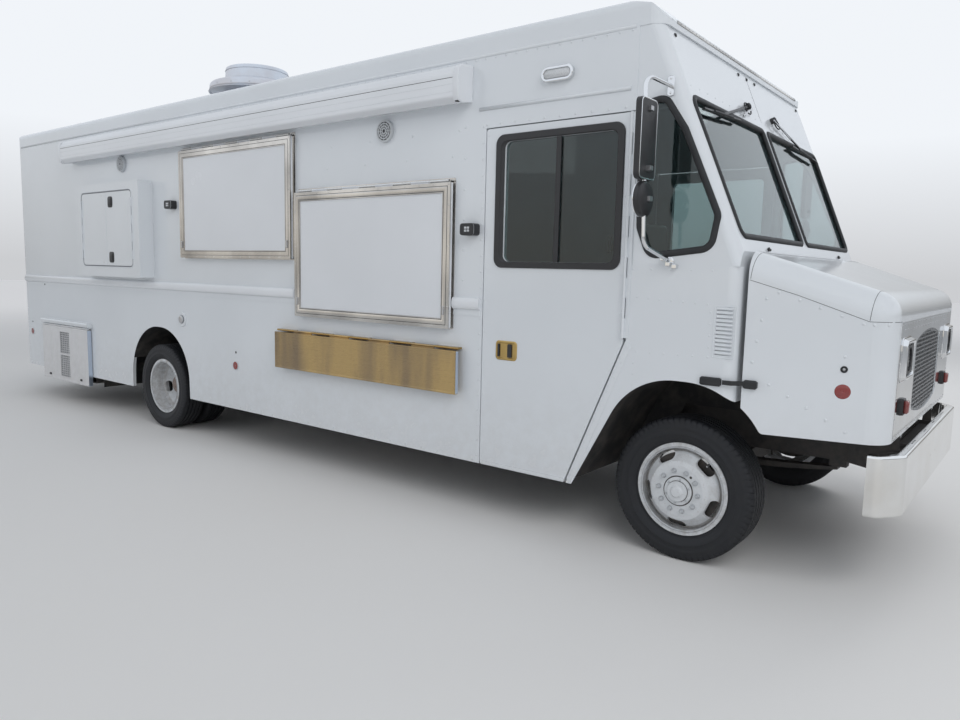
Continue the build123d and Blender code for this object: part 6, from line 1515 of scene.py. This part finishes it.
def tyre_shape(centre_x, centre_y):
    """Surface of a tyre as a closed grid: rows run round the axle and columns across the section. A groove is
    a drop in radius whose y follows a triangle wave of the angle. The shoulders drop once in every pitch."""
    side = np.array([
        (0.0755, 0.241), (0.0765, 0.256), (0.086, 0.264), (0.0875, 0.272), (0.0925, 0.2735), (0.1005, 0.286),
        (0.108, 0.301), (0.111, 0.313), (0.1125, 0.314), (0.1125, 0.318), (0.1118, 0.3195), (0.1118, 0.333),
        (0.1106, 0.345), (0.111, 0.346), (0.109, 0.356), (0.107, 0.37),
    ])
    shoulder = np.array([(0.1052, 0.38), (0.102, 0.3905), (0.0965, 0.3985), (0.089, 0.4025)])
    grooves = []
    for middle in (0.056, 0.019, -0.019, -0.056):
        grooves.extend([
            (middle + 0.005, 0.4035), (middle + 0.0036, 0.3925), (middle - 0.0036, 0.3925),
            (middle - 0.005, 0.4035),
        ])
    crown = np.array([(0.078, 0.4035)] + grooves + [(-0.078, 0.4035)])
    section = np.concatenate((
        side, shoulder, crown, (shoulder * (-1, 1))[::-1], (side * (-1, 1))[::-1],
        [(-0.0745, 0.2405), (0.0745, 0.2405)],
    ))
    part = np.concatenate((
        np.zeros(len(side)), np.ones(len(shoulder)), np.full(len(crown), 2), np.ones(len(shoulder)),
        np.zeros(len(side)), [0, 0],
    ))
    phase = np.array([0.0, 0.1, 0.13, 0.33, 0.36, 0.68])
    turn = ((np.arange(TYRE_PITCHES)[:, None] + phase[None]) / TYRE_PITCHES * 2 * np.pi).reshape(-1)
    cut = np.tile(np.array([0, 0, 1, 1, 0, 0]), TYRE_PITCHES)
    wave = np.tile(np.abs(phase * 2 - 1) * 2 - 1, TYRE_PITCHES)
    y = section[None, :, 0] + 0.0022 * wave[:, None] * (part == 2)[None] * (
        np.abs(section[None, :, 0]) < 0.07
    )
    r = section[None, :, 1] - 0.0055 * cut[:, None] * (part == 1)[None]
    points = np.stack(
        (centre_x + r * np.sin(turn)[:, None], centre_y + y, WHEEL_Z + r * np.cos(turn)[:, None]), -1,
    )
    return outward(points, grid_faces(len(turn), len(section), close_rows=True, close_columns=True))


def round_axle(x, y, radius, angles):
    """Points at angles round an axle, in the upright plane along the truck at y."""
    angles = np.atleast_1d(angles)
    return np.column_stack((
        x + radius * np.cos(angles), np.full(len(angles), y), WHEEL_Z + radius * np.sin(angles),
    ))


for hand, side_name in SIDES:
    front = make_piece(
        f"front_tyre_tread_{side_name}", tyre_shape(FRONT_AXLE, hand * FRONT_Y), tyre_rubber,
        f"front_wheel_{side_name}", 38,
    )
    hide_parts(f"front_tyre_{side_name}")
    pair = joined([tyre_shape(REAR_AXLE, hand * OUTER_Y), tyre_shape(REAR_AXLE, hand * INNER_Y)])
    rear = make_piece(
        f"rear_tyre_treads_{side_name}", pair, tyre_rubber, f"rear_wheels_{side_name}", 38,
    )
    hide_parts(f"rear_tyres_{side_name}")

    # Nuts on their studs, dark joints round the hubs and their caps, and a valve in each outer rim
    axis = (0, hand, 0)
    angles = np.radians(np.arange(10) * 36 + 104.5)
    for wheel_x, face, owner in (
        (FRONT_AXLE, DISC_Y, f"front_wheel_{side_name}"), (REAR_AXLE, 0.988, f"rear_wheels_{side_name}"),
    ):
        studs = []
        for nut in round_axle(wheel_x, hand * face, 0.113, angles):
            studs.append(turned(
                [(CORE, -0.001), (0.015, -0.001), (0.015, 0.0025), (CORE, 0.003)], nut, axis, 20,
            ))
            studs.append(turned(
                [(CORE, -0.001), (0.0128, 0.001), (0.0128, 0.015), (0.01, 0.018), (CORE, 0.0182)], nut, axis,
                6,
            ))
            studs.append(turned(
                [(CORE, 0.0), (0.0072, 0.0), (0.0072, 0.024), (0.0058, 0.0256), (CORE, 0.0256)], nut, axis,
                12,
            ))
        make_piece(owner + "_nuts", studs, wheel_nut, owner, 35)
    joints = [
        turned(
            [(0.078, -0.002), (0.0855, -0.002), (0.085, 0.0012), (0.08, 0.0018)],
            (FRONT_AXLE, hand * DISC_Y, WHEEL_Z), axis, 60,
        ),
        turned(
            [(0.0565, -0.002), (0.06, -0.002), (0.0598, 0.0012), (0.057, 0.0014)],
            (FRONT_AXLE, hand * HUB_Y, WHEEL_Z), axis, 60,
        ), dome(0.0075, 0.0008, (FRONT_AXLE + 0.068, hand * DISC_Y, WHEEL_Z + 0.087), axis, 16),
    ]
    make_piece(f"front_hub_joints_{side_name}", joints, hub_dark, f"front_wheel_{side_name}")
    lugs = []
    for lug in round_axle(FRONT_AXLE, hand * HUB_Y, 0.068, np.radians(np.arange(6) * 60 + 20)):
        lugs.append(turned(
            [(CORE, -0.001), (0.006, -0.001), (0.006, 0.004), (0.0045, 0.0052), (CORE, 0.0054)], lug, axis, 6,
        ))
    make_piece(
        f"front_hub_screws_{side_name}", lugs, wheel_nut, f"front_wheel_{side_name}", 35,
    )
    turn = np.radians(48)
    for wheel_x, wheel_y, owner in (
        (FRONT_AXLE, FRONT_Y, f"front_wheel_{side_name}"), (REAR_AXLE, OUTER_Y, f"rear_wheels_{side_name}"),
    ):
        stem = round_axle(wheel_x, hand * (wheel_y + 0.05), 0.214, turn)[0]
        tip = (-0.3 * np.cos(turn), hand, -0.3 * np.sin(turn))
        wheel_tree = lands(owner)
        swing = np.arange(24) * np.pi / 12
        starts = [round_axle(wheel_x, hand * (wheel_y - 0.115), radius, swing) for radius in (0.15, 0.2)]
        behind = np.abs(landed(wheel_tree, np.concatenate(starts), (0, hand, 0))[0][:, 1]).min() - 0.004
        drum = [(0.135, -0.003), (0.2045, -0.003), (0.2045, 0.0), (0.135, 0.0)]
        drum_face = turned(drum, (wheel_x, hand * behind, WHEEL_Z), axis, 60)
        make_piece(owner + "_drum_face", drum_face, hub_dark, owner, 0)
        flange = landed(wheel_tree, [(wheel_x + 0.236, hand * OUTSIDE, WHEEL_Z)], (0, -hand, 0), 1.2)[0][0][1]
        lip = [
            (0.229, -0.001), (0.23, 0.0022), (0.2345, 0.0052), (0.238, 0.006), (0.2405, 0.0046),
            (0.2412, 0.001), (0.2412, -0.003),
        ]
        lip_ring = turned(lip, (wheel_x, flange, WHEEL_Z), axis, 96)
        make_piece(owner + "_rim_lip", lip_ring, wheel_nut, owner)
        valve = turned(
            [(CORE, 0), (0.0042, 0), (0.0042, 0.026), (0.0052, 0.027), (0.0052, 0.036), (CORE, 0.037)], stem,
            tip, 12,
        )
        make_piece(owner + "_valve", valve, steel, owner, 35)

# Underside: ladder frame and axles in black chassis paint, dulled by road film.
# The driveline is cast iron, the exhaust rusted steel, the tank dull sheet steel.
chassis_paint = finish_from(
    "chassis_paint", enamel, Colour=(0.02, 0.02, 0.022), Dust_Colour=(0.16, 0.14, 0.12), Dust_Top=1.6,
    Dust_Amount=0.7, Gloss_Roughness=0.45, Peel=0.4,
)
coat_nodes(
    chassis_paint, "chassis_frame", "front_axle", "rear_axle", "leaf_springs", "generator_box",
    "knuckle_right", "knuckle_left",
)
cast_iron = finish_from(
    "cast_iron", enamel, Colour=(0.085, 0.08, 0.075), Dust_Colour=(0.2, 0.13, 0.08), Dust_Top=2.2,
    Dust_Amount=0.6, Gloss_Roughness=0.6, Peel=0.8,
)
coat_nodes(cast_iron, "engine_block")
exhaust_steel = finish_from(
    "exhaust_steel", drawn_metal, Colour=(0.36, 0.32, 0.28), Tarnish_Colour=(0.22, 0.1, 0.05), Tarnish=0.9,
    Base_Roughness=0.4, Metallic=0.8,
)
coat_nodes(exhaust_steel, "exhaust")
tank_steel = finish_from(
    "tank_steel", drawn_metal, Colour=(0.42, 0.42, 0.43), Tarnish_Colour=(0.22, 0.2, 0.18), Tarnish=0.7,
    Base_Roughness=0.35, Metallic=0.9,
)
coat_nodes(tank_steel, "fuel_tank")
liner = finish_from(
    "wheel_liner", rubber, Colour=(0.018, 0.018, 0.019), Bloom_Colour=(0.1, 0.09, 0.08), Bloom=0.8,
    Base_Roughness=0.7, Grain=0.5,
)
coat_nodes(liner, "wheel_wells")
u_bolts = []
for axle_x, top, low in ((FRONT_AXLE, 0.486, 0.35), (REAR_AXLE, 0.498, 0.342)):
    for y in (-0.395, 0.395):
        for x in (axle_x - 0.062, axle_x + 0.062):
            for dy in (-0.046, 0.046):
                u_bolts.append(turned(
                    [(CORE, 0), (0.008, 0), (0.008, top - low), (CORE, top - low)], (x, y + dy, low),
                    (0, 0, 1), 10,
                ))
            u_bolts.append(block(
                (x - 0.008, y - 0.054, top - 0.002), (x + 0.008, y + 0.054, top + 0.012), 0.004,
            ))
make_piece("spring_u_bolts", u_bolts, chassis_paint, "root", 35)

# Cab: a vinyl seat on a pedestal and a dashboard moulded in grained plastic.
# The floor is aluminium sheet, dulled by use.
cab_plastic = finish_from(
    "cab_plastic", rubber, Colour=(0.045, 0.046, 0.05), Bloom_Colour=(0.1, 0.1, 0.1), Bloom=0.2,
    Base_Roughness=0.5, Grain=0.5, Grain_Scale=500.0,
)
coat_nodes(cab_plastic, "dashboard", "steering_wheel")
seat_vinyl = finish_from(
    "seat_vinyl", rubber, Colour=(0.05, 0.05, 0.055), Bloom_Colour=(0.12, 0.12, 0.12), Bloom=0.3,
    Base_Roughness=0.42, Grain=0.6, Grain_Scale=300.0,
)
coat_nodes(seat_vinyl, "driver_seat")
floor_sheet = finish_from(
    "floor_sheet", drawn_metal, Colour=(0.3, 0.3, 0.31), Tarnish_Colour=(0.14, 0.13, 0.12), Tarnish=0.8,
    Base_Roughness=0.45, Metallic=0.8,
)
coat_nodes(floor_sheet, "floor")

# Roof fan: a spun aluminium ventilator on a flanged curb, weathered to a dull sheen.
# Rolled beads stiffen its rims, and screws hold its shroud.
# The fan's blue tint is a painted reflection of the sky.
fan_aluminium = finish_from(
    "fan_aluminium", drawn_metal, Colour=(0.66, 0.7, 0.76), Tarnish_Colour=(0.55, 0.48, 0.46), Tarnish=0.45,
    Base_Roughness=0.3, Grain=0.12, Grain_Along=(30.0, 30.0, 300.0), Metallic=0.9,
)
coat_nodes(fan_aluminium, "roof_fan")
FAN = (FRONT_AXLE - 4.56, -0.56)
bands = []
for radius, z in ((0.432, 3.163), (0.288, 3.272), (0.284, 3.352)):
    ring = [
        (radius - 0.012, -0.004), (radius + 0.001, -0.004), (radius + 0.003, 0.0), (radius + 0.001, 0.004),
        (radius - 0.012, 0.004),
    ]
    bands.append(turned(ring, (*FAN, z), (0, 0, 1), 72))
make_piece("fan_rims", bands, fan_aluminium, "root", 35)
turn = np.arange(16) * 2 * np.pi / 16
fan_screws = np.column_stack((
    FAN[0] + 0.426 * np.cos(turn), FAN[1] + 0.426 * np.sin(turn), np.full(16, 3.195),
))
spokes = np.column_stack((np.cos(turn), np.sin(turn), np.zeros(16)))
make_piece("fan_screws", heads(fan_screws, spokes, 0.007, 0.004), steel, "root")

# Awning details: cast end caps, two white strips that fill grooves, and a dark strip of painted shade in the
# groove along the front.
# A small latch under the front end holds the lead rail.
AWNING_FACE = 0.14
section = np.array([
    (0.0, 2.616), (0.0, 2.833), (0.103, 2.826), (0.12, 2.815), (0.135, 2.795), (0.143, 2.768), (0.143, 2.633),
    (0.135, 2.609), (0.1, 2.5965), (0.03, 2.61),
])
caps = []
for x0, x1 in ((AWNING[0] - 0.003, AWNING[0] + 0.04), (AWNING[1] + 0.003, AWNING[1] - 0.04)):
    middle = section.mean(0)
    layers = []
    for x, grow in ((x0, 0.955), (x0 + (x1 - x0) * 0.1, 1.0), (x1 - (x1 - x0) * 0.06, 1.0), (x1, 0.985)):
        layer = middle + (section - middle) * grow
        layers.append(np.column_stack(
            (np.full(len(layer), FRONT_AXLE + x), -SIDE - np.maximum(layer[:, 0], 0.0), layer[:, 1])
        ))
    caps.append(stacked(layers))
make_piece("awning_end_caps", caps, awning_white, "root", 25)
grooves = []
for z, depth in ((2.66, 0.0008), (2.705, 0.0008), (2.745, 0.002)):
    grooves.append(side_block(
        -1, AWNING[0] + 0.0455, AWNING[1] - 0.0455, z - 0.0018, z + 0.0018, AWNING_FACE - 0.0037,
        AWNING_FACE - depth, 0.0003,
    ))
make_piece("awning_strips", grooves[:2], awning_white, "root", 0)
# The third groove holds a dark strip of painted shade.
make_piece("awning_groove", grooves[2], painted_shade, "root", 0)
toggle = side_block(-1, AWNING[1] - 0.03, AWNING[1] - 0.006, 2.6, 2.612, 0.11, 0.132, 0.003)
make_piece("awning_end_latch", toggle, black_plastic, "root", 35)

# Rear doors: two riveted leaves, each with a window set in rubber.
# The kerb-side leaf closes last and has the lift handle.
for hand, side_name in SIDES:
    corners = [(hand * y, z) for y, z in box_corners(0.15, 0.43, 1.7, 2.25)]
    path = rounded_path(corners, 0.05)
    ring = carried(window_rubber(0.034, 0.01), at_x(REAR_FACE, path)[::-hand], (-1, 0, 0))
    make_piece(f"rear_window_rubber_{side_name}", ring, black_rubber, f"rear_door_{side_name}")
    marks = rows((hand * 0.535, 0.93, hand * 0.535, 2.44, 0.12), (hand * 0.03, 0.93, hand * 0.03, 2.44, 0.15))
    rivets(
        f"rear_door_rivets_{side_name}", at_x(REAR_FACE, marks), (-1, 0, 0), 0.0055, 0.0022,
        f"rear_door_{side_name}",
    )
handle_parts = [
    block((REAR_FACE - 0.012, -0.115, 1.35), (REAR_FACE, -0.045, 1.5), 0.004),
    block((REAR_FACE - 0.03, -0.095, 1.385), (REAR_FACE - 0.01, -0.065, 1.4), 0.003),
    block((REAR_FACE - 0.036, -0.098, 1.375), (REAR_FACE - 0.026, -0.062, 1.49), 0.004),
]
make_piece("rear_door_handle", handle_parts, chrome, "rear_door_right", 35)
rear_marks = rows(
    (-1.17, 0.62, -1.17, 2.82, 0.12), (1.17, 0.62, 1.17, 2.82, 0.12), (-1.1, 2.845, 1.1, 2.845, 0.1),
)
rivets("rear_wall_rivets", at_x(REAR_FACE, rear_marks), (-1, 0, 0), RIVET_R, RIVET_H)

# Stage: a pale floor that meets a pale world, soft boxes above and beside.
# The camera stands where the photograph was taken.
floor_mesh = bpy.data.meshes.new("stage_floor")
reach = 60.0
floor_mesh.from_pydata(
    [(-reach, -reach, 0), (reach, -reach, 0), (reach, reach, 0), (-reach, reach, 0)], [], [(0, 1, 2, 3)],
)
stage_floor = bpy.data.objects.new("stage_floor", floor_mesh)
bpy.context.scene.collection.objects.link(stage_floor)
pale, pale_tree, pale_inputs = new_material("stage_pale")
place = on_object(pale_tree)
tone = blend(pale_tree, noise(pale_tree, place, 0.4, 3.0), (0.86, 0.845, 0.825), (0.89, 0.88, 0.865))
pale_tree.links.new(tone, pale_inputs["Base Color"])
pale_inputs["Roughness"].default_value = 0.9
away = add_node(pale_tree, "VectorMath", ((0, place),), operation="LENGTH").outputs["Value"]
far = ranged(pale_tree, away, 7.0, 26.0, interpolation_type="SMOOTHSTEP")
seen = add_node(pale_tree, "LightPath").outputs["Is Camera Ray"]
pale_tree.links.new(reckoned(pale_tree, "MULTIPLY", far, seen), pale_inputs["Emission Strength"])
pale_inputs["Emission Color"].default_value = (0.24, 0.234, 0.236, 1)
floor_mesh.materials.append(pale)


def soft_box(name, place, aim, size, power):
    """A square area lamp at a place, turned so that its -Z axis points at its aim."""
    lamp = bpy.data.lights.new(name, "AREA")
    lamp.shape = "RECTANGLE"
    lamp.size, lamp.size_y = size
    lamp.energy = power
    holder = bpy.data.objects.new(name, lamp)
    bpy.context.scene.collection.objects.link(holder)
    holder.location = place
    holder.rotation_euler = (Vector(aim) - Vector(place)).to_track_quat("-Z", "Y").to_euler()
    return holder


key = soft_box("key_box", (10.5, -6.5, 8.5), (0.8, -0.8, 1.3), (8.0, 7.0), 440.0)
fill = soft_box("fill_box", (-6.0, -9.5, 6.5), (-0.5, -1.2, 1.4), (7.0, 6.0), 135.0)
back = soft_box("back_box", (3.0, 9.0, 9.0), (0.0, 0.5, 1.5), (8.0, 5.0), 330.0)
for box in (key, fill, back):
    box.visible_glossy = False

world = bpy.data.worlds.new("studio")
bpy.context.scene.world = world
world.use_nodes = True
sky = world.node_tree
backdrop = sky.nodes["Background"]
direction = add_node(sky, "TexCoord").outputs["Generated"]
along = add_node(sky, "SeparateXYZ", (("Vector", direction),)).outputs
path = add_node(sky, "LightPath").outputs
through = reckoned(sky, "MAXIMUM", path["Is Camera Ray"], path["Is Transmission Ray"])
pale_sky = blend(sky, ranged(sky, along["Z"], 0.0, 0.16), (0.6, 0.61, 0.63), (0.88, 0.91, 0.95))
kerb_glow = reckoned(sky, "MAXIMUM", reckoned(sky, "MULTIPLY", along["Y"], -0.25), 0.0)
lift = reckoned(sky, "ADD", along["Z"], kerb_glow)
room_tint = blend(sky, ranged(sky, along["Z"], 0.0, 0.2), (0.84, 0.8, 0.73), (0.88, 0.93, 1.0))
room = brightened(sky, room_tint, ranged(sky, lift, 0.0, 0.22, 0.14, 1.0))
flat_light = blend(sky, path["Is Glossy Ray"], (0.4, 0.423, 0.455), room)
sky.links.new(blend(sky, through, flat_light, pale_sky), backdrop.inputs["Color"])
backdrop.inputs["Strength"].default_value = 1.0

camera_data = bpy.data.cameras.new("photo_camera")
camera_data.sensor_width = 36.0
camera_data.lens = 28.07
camera_data.clip_end = 200.0
camera = bpy.data.objects.new("photo_camera", camera_data)
azimuth, elevation, roll = np.radians((37.955, -6.838, 1.3215))
forward = np.array((
    -np.sin(azimuth) * np.cos(elevation), np.cos(azimuth) * np.cos(elevation), np.sin(elevation),
))
right = unit(np.cross(forward, (0, 0, 1)))
up = np.cross(right, forward)
across_view = np.cos(roll) * right + np.sin(roll) * up
up_view = np.cos(roll) * up - np.sin(roll) * right
turn = Matrix(np.column_stack((across_view, up_view, -forward)).tolist())
camera.matrix_world = Matrix.Translation((FRONT_AXLE + 1.5948, -4.9679, 1.5859)) @ turn.to_4x4()
bpy.context.scene.collection.objects.link(camera)
bpy.context.scene.camera = camera
bpy.context.scene.view_settings.view_transform = "Standard"
